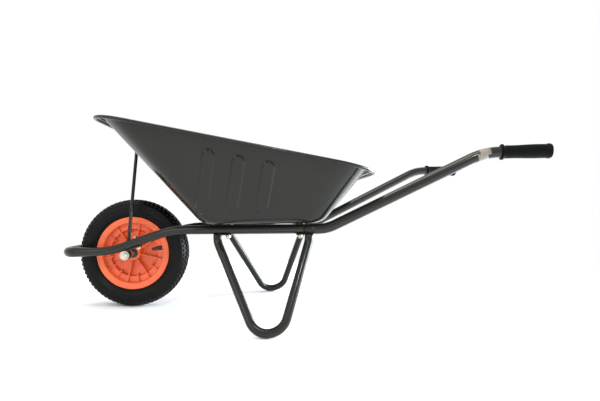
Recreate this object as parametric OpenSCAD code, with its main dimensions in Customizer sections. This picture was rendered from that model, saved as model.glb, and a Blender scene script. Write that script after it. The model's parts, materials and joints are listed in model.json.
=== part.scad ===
// Wheelbarrow: pressed steel tray on a bent tube frame, with one pneumatic wheel.
// X runs from the wheel to the grips, Y across, Z up. The origin is on the ground, under the middle.
// "Left" is the -Y side, the left hand of someone holding the grips.

/* [Overall layout] */
// Front of the frame loop to the axle
nose_to_axle = 216; // [205:1:265]
// Axle to the feet
axle_to_foot = 445; // [365:1:540]
// Feet to the ends of the grips
foot_to_grip_end = 712; // [590:1:860]

/* [Front frame tube] */
// Outer diameter of the front frame tube
frame_tube_d = 26; // [21:0.5:32]
// Wall of the front frame tube
frame_tube_wall = 1.5; // [1:0.1:2.5]
// Middle plane to the tube's centre at the front corners
loop_half_width = 64; // [60:1:80]
// Centre-line bend radius of the front corners
loop_bend_r = 46; // [38:1:56]
// Height of the tube's underside at the front
nose_height = 157; // [137:1:187]
// Low bend of the frame tube, ahead of the axle
low_bend_ahead = 49.5; // [42:0.5:60]
// Middle plane to the low bend
low_bend_half_width = 84.5; // [78:0.5:102]
// Height of the tube's underside at the low bend
low_bend_height = 168.5; // [165:0.5:175]
// Upper bend, where the flat rail starts, behind the axle
rail_start_behind = 147; // [125:1:180]
// Middle plane to the start of the rail
rail_start_half_width = 129.5; // [110:0.5:150]
// Height of the tube's underside at the start of the rail
rail_start_height = 243.5; // [237:0.5:251]
// Bend radius of the low bend and the upper bend
rail_bend_r = 300; // [200:5:330]

/* [Handle tubes] */
// Wall of the handle tubes, which sleeve over the ends of the frame tube
handle_tube_wall = 1.2; // [1:0.1:2.5]
// Gap between the frame tube and the sleeve round it
sleeve_gap = 0.3; // [0.3:0.05:0.5]
// Length of frame tube inside each handle tube
sleeve_overlap = 30; // [25:1:35]
// Front end of the handle tube, ahead of the rear bend
sleeve_ahead = 61; // [56:1:66]
// Rear bend, where the rail turns up into the handle, behind the feet
rail_end_behind = 153; // [140:1:175]
// Middle plane to the rear bend
rail_end_half_width = 202.5; // [185:0.5:225]
// Height of the frame tube's underside at the rear bend
rail_end_height = 267; // [263:0.5:275]
// Bend radius of the rear bend
rail_end_bend_r = 110; // [90:5:120]
// Grip bend, ahead of the end of the grip
grip_bend_ahead = 162; // [150:1:195]
// Middle plane to the grip bend
grip_bend_half_width = 269; // [240:1:300]
// Height of the grip bend
grip_bend_height = 497; // [440:1:560]
// Bend radius of the grip bend
grip_bend_r = 170; // [120:5:180]
// Middle plane to the end of the grip
grip_end_half_width = 294; // [260:1:320]
// Height of the end of the grip
grip_end_height = 503.5; // [445:0.5:570]

/* [Grips] */
// Length of a grip
grip_length = 121; // [100:1:130]
// Diameter of a grip in the middle
grip_d = 35; // [32:0.5:42]
// Diameter of the flange at a grip's inner end
grip_flange_d = 41; // [38:0.5:52]
// Thickness of that flange
grip_flange_t = 5; // [3:0.5:8]
// Thickness of a grip's closed end
grip_cap_t = 5; // [3:0.5:8]

/* [Legs] */
// Outer diameter of the leg tube
leg_tube_d = 24; // [20:0.5:25]
// Wall of the leg tube
leg_tube_wall = 1.5; // [1:0.1:2.5]
// Middle plane to the middle of a foot
foot_half_width = 298; // [250:1:330]
// Bend radius of a foot
foot_bend_r = 52; // [44:1:60]
// Top of the front strut, ahead of the foot
front_strut_ahead = 157; // [140:1:188]
// Top of the rear strut, behind the foot
rear_strut_behind = 105; // [100:1:112]
// Where the two struts would cross, behind the foot
strut_cross_behind = 14; // [8:1:18]
// Straight upright end of each strut below the rail
strut_upright = 34; // [30:1:42]
// Bend radius at the top of each strut
strut_bend_r = 40; // [30:1:48]
// Thickness of the flattened tabs that the legs are bolted by
leg_tab_t = 3; // [2:0.5:4]
// Width of the tabs
leg_tab_w = 20; // [18:1:24]

/* [Tray] */
// Sheet thickness
sheet = 1; // [0.8:0.1:1.5]
// Length of the flat floor
floor_length = 310; // [280:1:370]
// Width of the flat floor
floor_width = 410; // [395:1:490]
// Middle of the floor, ahead of the feet
floor_ahead = 26; // [10:1:40]
// Radius of the rounding from floor to walls
floor_edge_r = 30; // [20:1:36]
// Extra plan radius at the floor's corners
floor_corner_r = 30; // [20:1:36]
// Length of the opening, along the rim
rim_length = 724; // [640:1:840]
// Width of the opening at the front
rim_front_width = 624; // [540:1:740]
// Width of the opening at the rear
rim_rear_width = 580; // [540:1:690]
// Plan radius of the opening's corners
rim_corner_r = 95; // [80:1:110]
// Middle of the opening ahead of the middle of the floor
rim_ahead = 77; // [65:1:92]
// Height of the middle of the opening above the floor
rim_rise = 213; // [180:1:255]
// Slope of the rim, falling to the rear
rim_tilt = 8.8; // [7:0.1:10]
// Width of the flat flange
flange_w = 17; // [12:1:22]
// Diameter of the rolled edge with its wire
rolled_edge_d = 9; // [7:0.5:11]

/* [Cross straps] */
// Thickness of the straps under the tray
strap_t = 4; // [3:0.5:6]
// Width of the straps
strap_w = 24; // [20:1:26]
// Front tray bolts, behind the tops of the front struts
front_bolt_behind = 31; // [28:1:36]
// Rear tray bolts, ahead of the tops of the rear struts
rear_bolt_ahead = 26; // [25:1:30]

/* [Wheel] */
// Outer diameter of the tyre
tyre_d = 344; // [290:1:350]
// Width of the tyre
tyre_w = 78; // [65:1:84]
// Bead seat diameter of the rim
bead_seat_d = 203; // [180:1:210]
// Outer diameter of the rim's flanges
rim_flange_d = 232; // [224:1:240]
// Width of the rim over its flanges
wheel_rim_w = 60; // [50:1:64]
// Thickness of the rim's flanges
rim_flange_t = 5; // [4:0.5:7]
// Thickness of the rim's barrel
rim_barrel_t = 4; // [3:0.5:5]
// Thickness of the central web
web_t = 5; // [4:0.5:8]
// Long ribs from hub to barrel, on each side
long_ribs = 8; // [6:1:10]
// Thickness of the ribs
rib_t = 3; // [2.5:0.5:5]
// Turn of the first long rib from level, towards the top of the wheel
rib_turn = 35; // [0:1:44]
// Outer diameter of the hub boss
hub_d = 45; // [40:1:50]
// Length of the hub boss
hub_length = 54; // [50:1:60]
// Diameter of the valve stem
valve_d = 9; // [7:0.5:11]
// Length of the valve stem inside the rim
valve_length = 32; // [26:1:36]

/* [Axle] */
// Diameter of the axle bolt
axle_d = 12; // [10:0.5:14]
// Radial running gap between the axle bolt and the bushes
bush_gap = 0.06; // [0.02:0.01:0.1]
// Outer diameter of the bushes
bush_d = 22; // [20:0.5:26]
// Diameter of the bushes' flanges
bush_flange_d = 30; // [26:1:36]
// Thickness of the bushes' flanges
bush_flange_t = 2; // [1.5:0.5:3]
// Length of a bush inside the hub
bush_length = 20; // [15:1:24]
// End gap between a bush and the spacer beside it
bush_end_gap = 0.5; // [0.3:0.1:1]
// Outer diameter of the spacers
spacer_d = 17; // [15.5:0.5:20]
// Thickness of the axle brackets
bracket_t = 4; // [3:0.5:6]
// Width of the axle brackets' ears
bracket_w = 22; // [20:1:28]
// Diameter of the axle washers
axle_washer_d = 28.5; // [24:0.5:30]
// Thickness of the axle washers
axle_washer_t = 2.5; // [2:0.5:4]
// Width across flats of the axle bolt's head and nut
axle_hex = 17; // [16:1:20]

/* [Front stay] */
// Diameter of the stay rod
stay_d = 10; // [8:0.5:12]
// Middle plane to the stay
stay_half_width = 75; // [72:1:78]
// Diameter of the eye at the stay's lower end
stay_eye_d = 26; // [24:1:30]
// Thickness of the stay's flattened ends
stay_end_t = 4; // [3:0.5:5]
// Distance of the stay's upper bolt below the rim, along the front wall
stay_bolt_below_rim = 36; // [30:1:46]

/* [Small fasteners] */
// Diameter of the tray bolts
tray_bolt_d = 8; // [6:0.5:8]
// Diameter of the bracket bolts and the stay bolt
small_bolt_d = 6; // [5:0.5:6]
// Clearance of bolt holes, on the diameter
hole_gap = 0.4; // [0.3:0.1:1]
// Diameter of the rivets through the sleeves
rivet_d = 6; // [5:0.5:7]

/* [Hidden] */
$fn = 48;
hull_fn = 32;
tube_sides = 16;
bend_step = 13;
enamel = "#3a3d36";
zinc = "#c9c6b8";
black_rubber = "#1b1b1b";
rim_orange = "#d8693f";
left = -1;
right = 1;

// Stations along X
overall_length = nose_to_axle + axle_to_foot + foot_to_grip_end;
nose_x = -overall_length / 2;
axle_x = nose_x + nose_to_axle;
foot_x = axle_x + axle_to_foot;
grip_end_x = foot_x + foot_to_grip_end;
axle_z = tyre_d / 2;

// Centre-line corners of the frame on one side: X, distance from the middle plane, Z
frame_tube_r = frame_tube_d / 2;
nose_corner = [nose_x + frame_tube_r, loop_half_width, nose_height + frame_tube_r];
low_bend = [axle_x - low_bend_ahead, low_bend_half_width, low_bend_height + frame_tube_r];
rail_start = [axle_x + rail_start_behind, rail_start_half_width, rail_start_height + frame_tube_r];
rail_end = [foot_x + rail_end_behind, rail_end_half_width, rail_end_height + frame_tube_r];
grip_bend = [grip_end_x - grip_bend_ahead, grip_bend_half_width, grip_bend_height];
grip_cap_r = grip_flange_d / 2 - 1;
grip_dir = unit([grip_end_x, grip_end_half_width, grip_end_height] - grip_bend);
grip_end = [grip_end_x, grip_end_half_width, grip_end_height]
    - grip_dir * grip_cap_r * sqrt(1 - grip_dir.x * grip_dir.x) / grip_dir.x;

// The rail between its two ends
function rail_point(x) = rail_start + (rail_end - rail_start) * (x - rail_start.x) / (rail_end.x - rail_start.x);
rail_pitch = atan2(rail_end.z - rail_start.z, rail_end.x - rail_start.x);
rail_yaw = atan2(rail_end.y - rail_start.y, rail_end.x - rail_start.x);
sleeve_x = rail_end.x - sleeve_ahead;
frame_end_x = sleeve_x + sleeve_overlap;

// Handle tube and grip
handle_bore = frame_tube_d + 2 * sleeve_gap;
handle_tube_d = handle_bore + 2 * handle_tube_wall;
handle_end = grip_end - grip_dir * grip_cap_t;

// Legs
front_strut_x = foot_x - front_strut_ahead;
rear_strut_x = foot_x + rear_strut_behind;
front_bolt_x = front_strut_x + front_bolt_behind;
rear_bolt_x = rear_strut_x - rear_bolt_ahead;

// Tray
tray_seat = frame_tube_d / 2 + strap_t;
floor_x = foot_x - floor_ahead;
floor_z = rail_point(floor_x).z + tray_seat / cos(rail_pitch);
rim_x = floor_x - rim_ahead;
rim_z = floor_z + rim_rise;
rim_taper = atan2((rim_front_width - rim_rear_width) / 2, rim_length);

// Axle stack, as distances from the middle plane
axle_dir_point = low_bend + (rail_start - low_bend) * (axle_x - low_bend.x) / (rail_start.x - low_bend.x);
bracket_half = axle_dir_point.y;
bracket_inner = bracket_half - bracket_t / 2;
bracket_outer = bracket_half + bracket_t / 2;
spacer_inner = hub_length / 2 + bush_flange_t + bush_end_gap;
slope_pitch = atan2(rail_start.z - low_bend.z, rail_start.x - low_bend.x);
slope_yaw = atan2(rail_start.y - low_bend.y, rail_start.x - low_bend.x);
bracket_bolt_behind = 42;
axle_head_t = 7.5;
axle_nut_t = 10;
axle_tip = 4;

// Vectors and bends
function unit(v) = v / norm(v);
function flip(p, side) = [p.x, side * p.y, p.z];
function bend_angle(a, b, c) = acos(min(1, max(-1, unit(b - a) * unit(c - b))));
function bend_reach(a, b, c, r) = r * tan(bend_angle(a, b, c) / 2);
function across(d) = unit(cross(d, abs(d.z) < 0.9 ? [0, 0, 1] : [1, 0, 0]));
function frame_of(x, y, z, o) = [
    [x.x, y.x, z.x, o.x],
    [x.y, y.y, z.y, o.y],
    [x.z, y.z, z.z, o.z],
    [0, 0, 0, 1]
];

module ring_section(d_out, d_in) {
    difference() {
        circle(d = d_out);
        if (d_in > 0) circle(d = d_in);
    }
}

// A straight piece of tube from a to b
module straight_tube(a, b, d_out, d_in = 0) {
    z = unit(b - a);
    x = across(z);
    multmatrix(frame_of(x, cross(z, x), z, a))
        linear_extrude(height = norm(b - a))
            ring_section(d_out, d_in);
}

// Places and directions round the bend at b, from the direction of a to the direction of c
function bend_stations(a, b, c, r) =
    let (go = unit(b - a),
        inward = unit(unit(c - b) - go),
        turn = bend_angle(a, b, c),
        centre = b + inward * r / cos(turn / 2),
        x = unit(b - go * bend_reach(a, b, c, r) - centre),
        steps = max(3, ceil(turn / bend_step)))
    [for (i = [0:steps]) let (t = turn * i / steps)
        [centre + r * (x * cos(t) + go * sin(t)), go * cos(t) - x * sin(t)]];

// The same along a whole run of corner points, either open or joined up in a loop
function tube_stations(points, radii, closed) =
    let (n = len(points))
    closed
        ? [for (i = [0:n - 1], s = bend_stations(points[(i + n - 1) % n], points[i], points[(i + 1) % n], radii[i])) s]
        : concat([[points[0], unit(points[1] - points[0])]],
            [for (i = [1:n - 2], s = bend_stations(points[i - 1], points[i], points[i + 1], radii[i - 1])) s],
            [[points[n - 1], unit(points[n - 1] - points[n - 2])]]);

// A direction square to the tube, carried from station to station without twisting
function carried(stations, i, x) =
    let (t = stations[i][1], here = unit(x - t * (x * t)))
    i == len(stations) - 1 ? [here] : concat([here], carried(stations, i + 1, here));
function ring_at(station, x, r) =
    [for (k = [0:tube_sides - 1]) let (a = 360 * k / tube_sides)
        station[0] + r * (x * cos(a) + cross(station[1], x) * sin(a))];

// Two triangles for each side of each band between rings
function bands(from, rings, turned, closed) =
    [for (i = [0:rings - (closed ? 1 : 2)], k = [0:tube_sides - 1], half = [0, 1])
        let (j = (i + 1) % rings,
            m = (k + 1) % tube_sides,
            p = from + i * tube_sides + k,
            q = from + i * tube_sides + m,
            u = from + j * tube_sides + k,
            v = from + j * tube_sides + m,
            face = half == 0 ? [p, q, v] : [p, v, u])
        turned ? [face[0], face[2], face[1]] : face];

// A tube along corner points, with a bend radius for each bend
module bent_tube(points, radii, d_out, d_in = 0, closed = false) {
    stations = tube_stations(points, radii, closed);
    rings = len(stations);
    x = carried(stations, 0, across(stations[0][1]));
    outer = [for (i = [0:rings - 1], p = ring_at(stations[i], x[i], d_out / 2)) p];
    inner = d_in > 0 ? [for (i = [0:rings - 1], p = ring_at(stations[i], x[i], d_in / 2)) p] : [];
    count = rings * tube_sides;
    tail = (rings - 1) * tube_sides;
    ends = closed ? []
        : d_in > 0
            ? [for (k = [0:tube_sides - 1], half = [0, 1], end = [0, 1])
                let (m = (k + 1) % tube_sides,
                    base = end * tail,
                    face = half == 0 ? [base + k, count + base + k, count + base + m]
                        : [base + k, count + base + m, base + m])
                end == 1 ? [face[0], face[2], face[1]] : face]
            : [[for (k = [0:tube_sides - 1]) tube_sides - 1 - k], [for (k = [0:tube_sides - 1]) tail + k]];
    faces = concat(bands(0, rings, false, closed), d_in > 0 ? bands(count, rings, true, closed) : [], ends);
    polyhedron(points = concat(outer, inner), faces = [for (f = faces) [for (i = [len(f) - 1:-1:0]) f[i]]]);
}

// Children stand on the rail's centre line at x, their Z square to the rail
module on_rail(x, side) {
    p = rail_point(x);
    translate([p.x, side * p.y, p.z]) rotate([0, -rail_pitch, 0]) children();
}

// The same, turned to follow the rail in plan
module along_rail(x, side) {
    on_rail(x, side) rotate([0, 0, side * rail_yaw]) children();
}

// Children stand on the sloping part of the frame tube above the axle
module on_slope(side) {
    translate([axle_dir_point.x, side * axle_dir_point.y, axle_dir_point.z])
        rotate([0, 0, side * slope_yaw]) rotate([0, -slope_pitch, 0]) children();
}

// Solid rail, to shape what is fitted under it
module rail_solid(side) {
    straight_tube(flip(rail_start, side), flip(rail_point(frame_end_x), side), frame_tube_d);
    straight_tube(flip(rail_point(sleeve_x), side), flip(rail_end, side), handle_tube_d);
}

// Solid low bend and slope, to shape the axle brackets
module slope_solid(side) {
    bent_tube([flip(nose_corner, side), flip(low_bend, side), flip(rail_start, side)],
        [rail_bend_r], frame_tube_d);
}

module hex_nut(flats, t, bore) {
    difference() {
        cylinder(d = flats / cos(30), h = t, $fn = 6);
        translate([0, 0, -1]) cylinder(d = bore, h = t + 2);
    }
}

module front_frame() {
    side_points = [low_bend, rail_start, rail_point(frame_end_x)];
    points = concat(
        [for (i = [2:-1:0]) flip(side_points[i], left)],
        [flip(nose_corner, left), nose_corner],
        side_points);
    color(enamel) difference() {
        bent_tube(points, [rail_bend_r, rail_bend_r, loop_bend_r, loop_bend_r, rail_bend_r, rail_bend_r],
            frame_tube_d, frame_tube_d - 2 * frame_tube_wall);
        for (side = [left, right]) {
            for (x = [front_bolt_x, rear_bolt_x])
                on_rail(x, side) cylinder(d = tray_bolt_d + hole_gap, h = 2 * frame_tube_d, center = true);
            on_slope(side) translate([bracket_bolt_behind, 0, 0])
                cylinder(d = small_bolt_d + hole_gap, h = 2 * frame_tube_d, center = true);
            along_rail(sleeve_x + sleeve_overlap / 2, side) rotate([90, 0, 0])
                cylinder(d = rivet_d, h = 2 * frame_tube_d, center = true);
        }
    }
}

// The grip bend is tightened where the straight that holds the grip would come too short
grip_bend_room = norm(grip_end - grip_bend) - grip_length;
grip_bend_fit = min(grip_bend_r, grip_bend_room / tan(bend_angle(rail_end, grip_bend, grip_end) / 2));

module handle_tube(side) {
    points = [for (p = [rail_point(sleeve_x), rail_end, grip_bend, handle_end]) flip(p, side)];
    color(enamel) difference() {
        bent_tube(points, [rail_end_bend_r, grip_bend_fit], handle_tube_d, handle_bore);
        along_rail(sleeve_x + sleeve_overlap / 2, side) rotate([90, 0, 0])
            cylinder(d = rivet_d, h = 2 * frame_tube_d, center = true);
    }
}

module grip(side) {
    go = unit(flip(grip_end, side) - flip(grip_bend, side));
    x = across(go);
    inner_end = flip(grip_end, side) - go * grip_length;
    color(black_rubber) multmatrix(frame_of(x, cross(go, x), go, inner_end)) difference() {
        union() {
            cylinder(d = grip_flange_d, h = grip_flange_t);
            cylinder(d = grip_d, h = grip_length);
            translate([0, 0, grip_length - grip_cap_t - grip_flange_t])
                cylinder(d1 = grip_d, d2 = 2 * grip_cap_r, h = grip_flange_t);
            translate([0, 0, grip_length - grip_cap_t]) cylinder(r = grip_cap_r, h = grip_cap_t);
        }
        translate([0, 0, -1]) cylinder(d = handle_tube_d, h = grip_length - grip_cap_t + 1);
    }
}

// The foot's corner point is sunk until the bend rests on the ground
leg_top_half = (rail_point(front_strut_x).y + rail_point(rear_strut_x).y) / 2;
leg_top_z = (rail_point(front_strut_x).z + rail_point(rear_strut_x).z) / 2 - strut_upright;
leg_splay = (foot_half_width - leg_top_half) / (leg_top_z - leg_tube_d / 2);
knee_front = rail_point(front_strut_x) - [0, 0, strut_upright];
knee_rear = rail_point(rear_strut_x) - [0, 0, strut_upright];
function cross_point(z) =
    [foot_x + strut_cross_behind, foot_half_width + (leg_tube_d / 2 - z) * leg_splay, z];
function foot_low(z) =
    let (v = cross_point(z),
        to_front = unit(knee_front - v),
        to_rear = unit(knee_rear - v),
        half = acos(to_front * to_rear) / 2,
        centre = v + unit(to_front + to_rear) * foot_bend_r / sin(half),
        normal = unit(cross(to_front, to_rear)))
    centre.z - foot_bend_r * sqrt(1 - normal.z * normal.z) - leg_tube_d / 2;
function settle(z, steps) = steps == 0 ? z : settle(z - foot_low(z), steps - 1);
foot_corner = cross_point(settle(-70, 12));

module leg(side) {
    points = [for (p = [rail_point(front_strut_x), knee_front, foot_corner, knee_rear, rail_point(rear_strut_x)])
        flip(p, side)];
    under = -frame_tube_d / 2 - leg_tab_t;
    color(enamel) difference() {
        union() {
            bent_tube(points, [strut_bend_r, foot_bend_r, strut_bend_r], leg_tube_d, leg_tube_d - 2 * leg_tube_wall);
            along_rail(front_bolt_x, side)
                leg_tab(-front_bolt_behind / cos(rail_yaw) + leg_tube_d / 2 - leg_tube_wall, under);
            along_rail(rear_bolt_x, side)
                leg_tab(rear_bolt_ahead / cos(rail_yaw) - leg_tube_d / 2 + leg_tube_wall, under);
        }
        rail_solid(side);
        for (x = [front_bolt_x, rear_bolt_x])
            on_rail(x, side) cylinder(d = tray_bolt_d + hole_gap, h = 3 * frame_tube_d, center = true);
    }
}

// A flattened tab from the bolt to the strut, hollowed to the rail above it
module leg_tab(reach, under) {
    length = abs(reach) + leg_tab_w / 2;
    start = reach < 0 ? reach : -leg_tab_w / 2;
    translate([start, -leg_tab_w / 2, under]) cube([length, leg_tab_w, leg_tab_t * 2]);
}

module cross_strap(x) {
    half = rail_point(x).y + leg_tab_w / 2;
    color(enamel) difference() {
        translate([rail_point(x).x, 0, rail_point(x).z]) rotate([0, -rail_pitch, 0])
            translate([-strap_w / 2, -half, frame_tube_d / 2]) cube([strap_w, 2 * half, strap_t]);
        for (side = [left, right])
            on_rail(x, side) cylinder(d = tray_bolt_d + hole_gap, h = 3 * frame_tube_d, center = true);
    }
}

// Outline of the opening, grown by d: a trapezium with round corners
function rim_half_width(x, d) =
    (rim_front_width + rim_rear_width) / 4 - x * tan(rim_taper) + d / cos(rim_taper);
function rim_corners(d) = [
    [-rim_length / 2 - d, -rim_half_width(-rim_length / 2 - d, d), 0],
    [rim_length / 2 + d, -rim_half_width(rim_length / 2 + d, d), 0],
    [rim_length / 2 + d, rim_half_width(rim_length / 2 + d, d), 0],
    [-rim_length / 2 - d, rim_half_width(-rim_length / 2 - d, d), 0]
];
function corner_arc(a, b, c, r, steps) =
    let (go = unit(b - a),
        inward = unit(unit(c - b) - go),
        turn = bend_angle(a, b, c),
        centre = b + inward * r / cos(turn / 2),
        x = unit(b - go * bend_reach(a, b, c, r) - centre))
    [for (i = [0:steps]) centre + r * (x * cos(turn * i / steps) + go * sin(turn * i / steps))];
function rim_outline(d) =
    let (p = rim_corners(d))
    [for (i = [0:3], q = corner_arc(p[(i + 3) % 4], p[i], p[(i + 1) % 4], rim_corner_r + d, 8)) [q.x, q.y]];

module at_rim() {
    translate([rim_x, 0, rim_z]) rotate([0, rim_tilt, 0]) children();
}

module at_floor() {
    translate([floor_x, 0, floor_z]) rotate([0, -rail_pitch, 0]) children();
}

// The tray's solid shape, drawn in by t on every side
module tray_form(t, top) {
    hull() {
        at_rim() translate([0, 0, -sheet]) linear_extrude(height = sheet + top)
            polygon(rim_outline(-t));
        at_floor()
            for (i = [-1, 1], j = [-1, 1])
                translate([i * (floor_length / 2 - floor_corner_r), j * (floor_width / 2 - floor_corner_r), floor_edge_r])
                    rotate_extrude($fn = hull_fn) translate([floor_corner_r, 0]) circle(r = floor_edge_r - t, $fn = hull_fn);
    }
}

// Front wall, seen from the side: the line from the rounding below it to the underside of the rim
wall_foot = [floor_x - floor_length / 2 * cos(rail_pitch) - floor_edge_r * sin(rail_pitch),
    floor_z - floor_length / 2 * sin(rail_pitch) + floor_edge_r * cos(rail_pitch)];
wall_top = [rim_x - rim_length / 2 * cos(rim_tilt) - sheet * sin(rim_tilt),
    rim_z + rim_length / 2 * sin(rim_tilt) - sheet * cos(rim_tilt)];
wall_run = wall_foot - wall_top;
wall_angle = atan2(wall_run.y, wall_run.x) - asin(floor_edge_r / norm(wall_run));

// Children stand on the outside of the front wall, X running down it and Z pointing out of the tray
module on_front_wall(down, y) {
    translate([wall_top.x, y, wall_top.y]) rotate([0, -wall_angle, 0])
        translate([down, 0, 0]) rotate([180, 0, 0]) children();
}

module tray() {
    color(enamel) difference() {
        union() {
            tray_form(0, 0);
            at_rim() translate([0, 0, -sheet]) linear_extrude(height = sheet)
                polygon(rim_outline(flange_w));
        }
        tray_form(sheet, 1);
        for (side = [left, right], x = [front_bolt_x, rear_bolt_x])
            on_rail(x, side) cylinder(d = tray_bolt_d + hole_gap, h = 3 * frame_tube_d, center = true);
        on_front_wall(stay_bolt_below_rim, -stay_half_width)
            cylinder(d = small_bolt_d + hole_gap, h = 20, center = true);
    }
}

// The rolled edge with its wire, level with the top of the flange
module rolled_rim_edge() {
    r = rim_corner_r + flange_w + rolled_edge_d / 2;
    color(enamel) at_rim() translate([0, 0, -rolled_edge_d / 2])
        bent_tube(rim_corners(flange_w + rolled_edge_d / 2), [r, r, r, r], rolled_edge_d, closed = true);
}

stay_tab_length = 34;
stay_foot = [axle_x, -stay_half_width, axle_z];
stay_head_down = stay_bolt_below_rim + stay_tab_length / 2;
stay_head = [wall_top.x + cos(wall_angle) * stay_head_down, -stay_half_width,
    wall_top.y + sin(wall_angle) * stay_head_down];

module front_stay() {
    color(enamel) difference() {
        union() {
            straight_tube(stay_foot, stay_head, stay_d);
            translate(stay_foot) rotate([90, 0, 0]) cylinder(d = stay_eye_d, h = stay_end_t, center = true);
            on_front_wall(stay_bolt_below_rim, -stay_half_width)
                translate([-stay_tab_length / 2, -stay_d, sheet / 5])
                    cube([stay_tab_length * 1.2, 2 * stay_d, stay_end_t]);
        }
        translate(stay_foot) rotate([90, 0, 0])
            cylinder(d = axle_d + hole_gap, h = 2 * stay_d, center = true);
        for (y = [stay_end_t / 2, -stay_end_t / 2 - stay_d])
            translate(stay_foot + [-stay_eye_d / 2 - 1, y, -stay_eye_d / 2 - 1])
                cube([stay_eye_d + 2, stay_d, stay_eye_d + 2]);
        on_front_wall(stay_bolt_below_rim, -stay_half_width)
            translate([-stay_tab_length, -2 * stay_d, -2 * stay_tab_length + sheet / 5])
                cube([3 * stay_tab_length, 4 * stay_d, 2 * stay_tab_length]);
        on_front_wall(stay_bolt_below_rim, -stay_half_width)
            cylinder(d = small_bolt_d + hole_gap, h = 30, center = true);
    }
}

// Ear with the axle hole, and a saddle strip that runs back under the tube to its bolt
module axle_bracket(side) {
    strip_length = bracket_bolt_behind + bracket_w / 2;
    color(enamel) difference() {
        union() {
            translate([axle_x, side * bracket_half, axle_z]) rotate([90, 0, 0])
                cylinder(d = bracket_w, h = bracket_t, center = true);
            translate([axle_x - bracket_w / 2, side * bracket_half - bracket_t / 2, axle_z])
                cube([bracket_w, bracket_t, axle_dir_point.z - axle_z]);
            on_slope(side) translate([0, -bracket_w / 2 + 2, -frame_tube_d / 2 - bracket_t])
                cube([strip_length, bracket_w - 4, 2 * bracket_t]);
        }
        slope_solid(side);
        translate([axle_x, side * bracket_half, axle_z]) rotate([90, 0, 0])
            cylinder(d = axle_d + hole_gap, h = 2 * bracket_t, center = true);
        on_slope(side) translate([bracket_bolt_behind, 0, 0])
            cylinder(d = small_bolt_d + hole_gap, h = 3 * frame_tube_d, center = true);
        translate([axle_x, side * bracket_outer, axle_z]) rotate([side * -90, 0, 0])
            cylinder(d = axle_washer_d + 2, h = frame_tube_d);
    }
}

// Children lie along the axle, with Z pointing outwards on that side
module along_axle(side) {
    translate([axle_x, 0, axle_z]) rotate([side * -90, 0, 0]) children();
}

module axle_bolt() {
    head = bracket_outer + axle_washer_t;
    color(zinc) {
        along_axle(left) translate([0, 0, head]) cylinder(d = axle_hex / cos(30), h = axle_head_t, $fn = 6);
        along_axle(left) translate([0, 0, -head - axle_nut_t - axle_tip])
            cylinder(d = axle_d, h = 2 * head + axle_nut_t + axle_tip);
    }
}

module axle_nut() {
    color(zinc) along_axle(right) translate([0, 0, bracket_outer + axle_washer_t])
        hex_nut(axle_hex, axle_nut_t, axle_d);
}

module axle_washers() {
    color(zinc) for (side = [left, right])
        along_axle(side) translate([0, 0, bracket_outer]) difference() {
            cylinder(d = axle_washer_d, h = axle_washer_t);
            translate([0, 0, -1]) cylinder(d = axle_d + hole_gap, h = axle_washer_t + 2);
        }
}

module axle_spacer(side, from, to) {
    color(zinc) along_axle(side) translate([0, 0, from]) difference() {
        cylinder(d = spacer_d, h = to - from);
        translate([0, 0, -1]) cylinder(d = axle_d + hole_gap, h = to - from + 2);
    }
}

small_head_t = 4;
small_nut_t = 5;
small_hex = 10;

module bracket_bolts() {
    reach = frame_tube_d / 2 + bracket_t + small_nut_t + 3;
    color(zinc) for (side = [left, right])
        on_slope(side) translate([bracket_bolt_behind, 0, 0]) {
            translate([0, 0, frame_tube_d / 2]) cylinder(d = small_hex / cos(30), h = small_head_t, $fn = 6);
            translate([0, 0, -reach]) cylinder(d = small_bolt_d, h = reach + frame_tube_d / 2);
        }
}

module bracket_nuts() {
    color(zinc) for (side = [left, right])
        on_slope(side) translate([bracket_bolt_behind, 0, -frame_tube_d / 2 - bracket_t - small_nut_t])
            hex_nut(small_hex, small_nut_t, small_bolt_d);
}

tray_washer_t = 1.5;
tray_washer_d = 22;
tray_head_d = 17;
tray_head_t = 4;
tray_nut_t = 7;
tray_hex = 13;

module tray_bolts() {
    over = tray_seat + sheet + tray_washer_t;
    under = frame_tube_d / 2 + leg_tab_t + tray_nut_t + 4;
    color(zinc) for (side = [left, right], x = [front_bolt_x, rear_bolt_x])
        on_rail(x, side) {
            translate([0, 0, over]) cylinder(d1 = tray_head_d, d2 = tray_head_d * 0.6, h = tray_head_t);
            translate([0, 0, -under]) cylinder(d = tray_bolt_d, h = under + over);
        }
}

module tray_bolt_washers() {
    color(black_rubber) for (side = [left, right], x = [front_bolt_x, rear_bolt_x])
        on_rail(x, side) translate([0, 0, tray_seat + sheet]) difference() {
            cylinder(d = tray_washer_d, h = tray_washer_t);
            translate([0, 0, -1]) cylinder(d = tray_bolt_d + hole_gap, h = tray_washer_t + 2);
        }
}

module tray_nuts() {
    color(zinc) for (side = [left, right], x = [front_bolt_x, rear_bolt_x])
        on_rail(x, side) translate([0, 0, -frame_tube_d / 2 - leg_tab_t - tray_nut_t])
            hex_nut(tray_hex, tray_nut_t, tray_bolt_d);
}

module handle_rivets() {
    head = 2;
    color(enamel) for (side = [left, right])
        along_rail(sleeve_x + sleeve_overlap / 2, side) rotate([90, 0, 0]) {
            cylinder(d = rivet_d, h = handle_tube_d, center = true);
            for (end = [-1, 1])
                translate([0, 0, end * (handle_tube_d / 2 + head / 2 - 0.5)])
                    cylinder(d = rivet_d * 1.8, h = head + 1, center = true);
        }
}

module stay_bolt() {
    inside = sheet + small_head_t;
    outside = stay_end_t + small_nut_t + 3;
    color(zinc) on_front_wall(stay_bolt_below_rim, -stay_half_width) {
        translate([0, 0, -inside - sheet / 5])
            cylinder(d1 = small_hex, d2 = small_hex * 1.4, h = small_head_t);
        translate([0, 0, -inside]) cylinder(d = small_bolt_d, h = inside + outside);
    }
}

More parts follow.
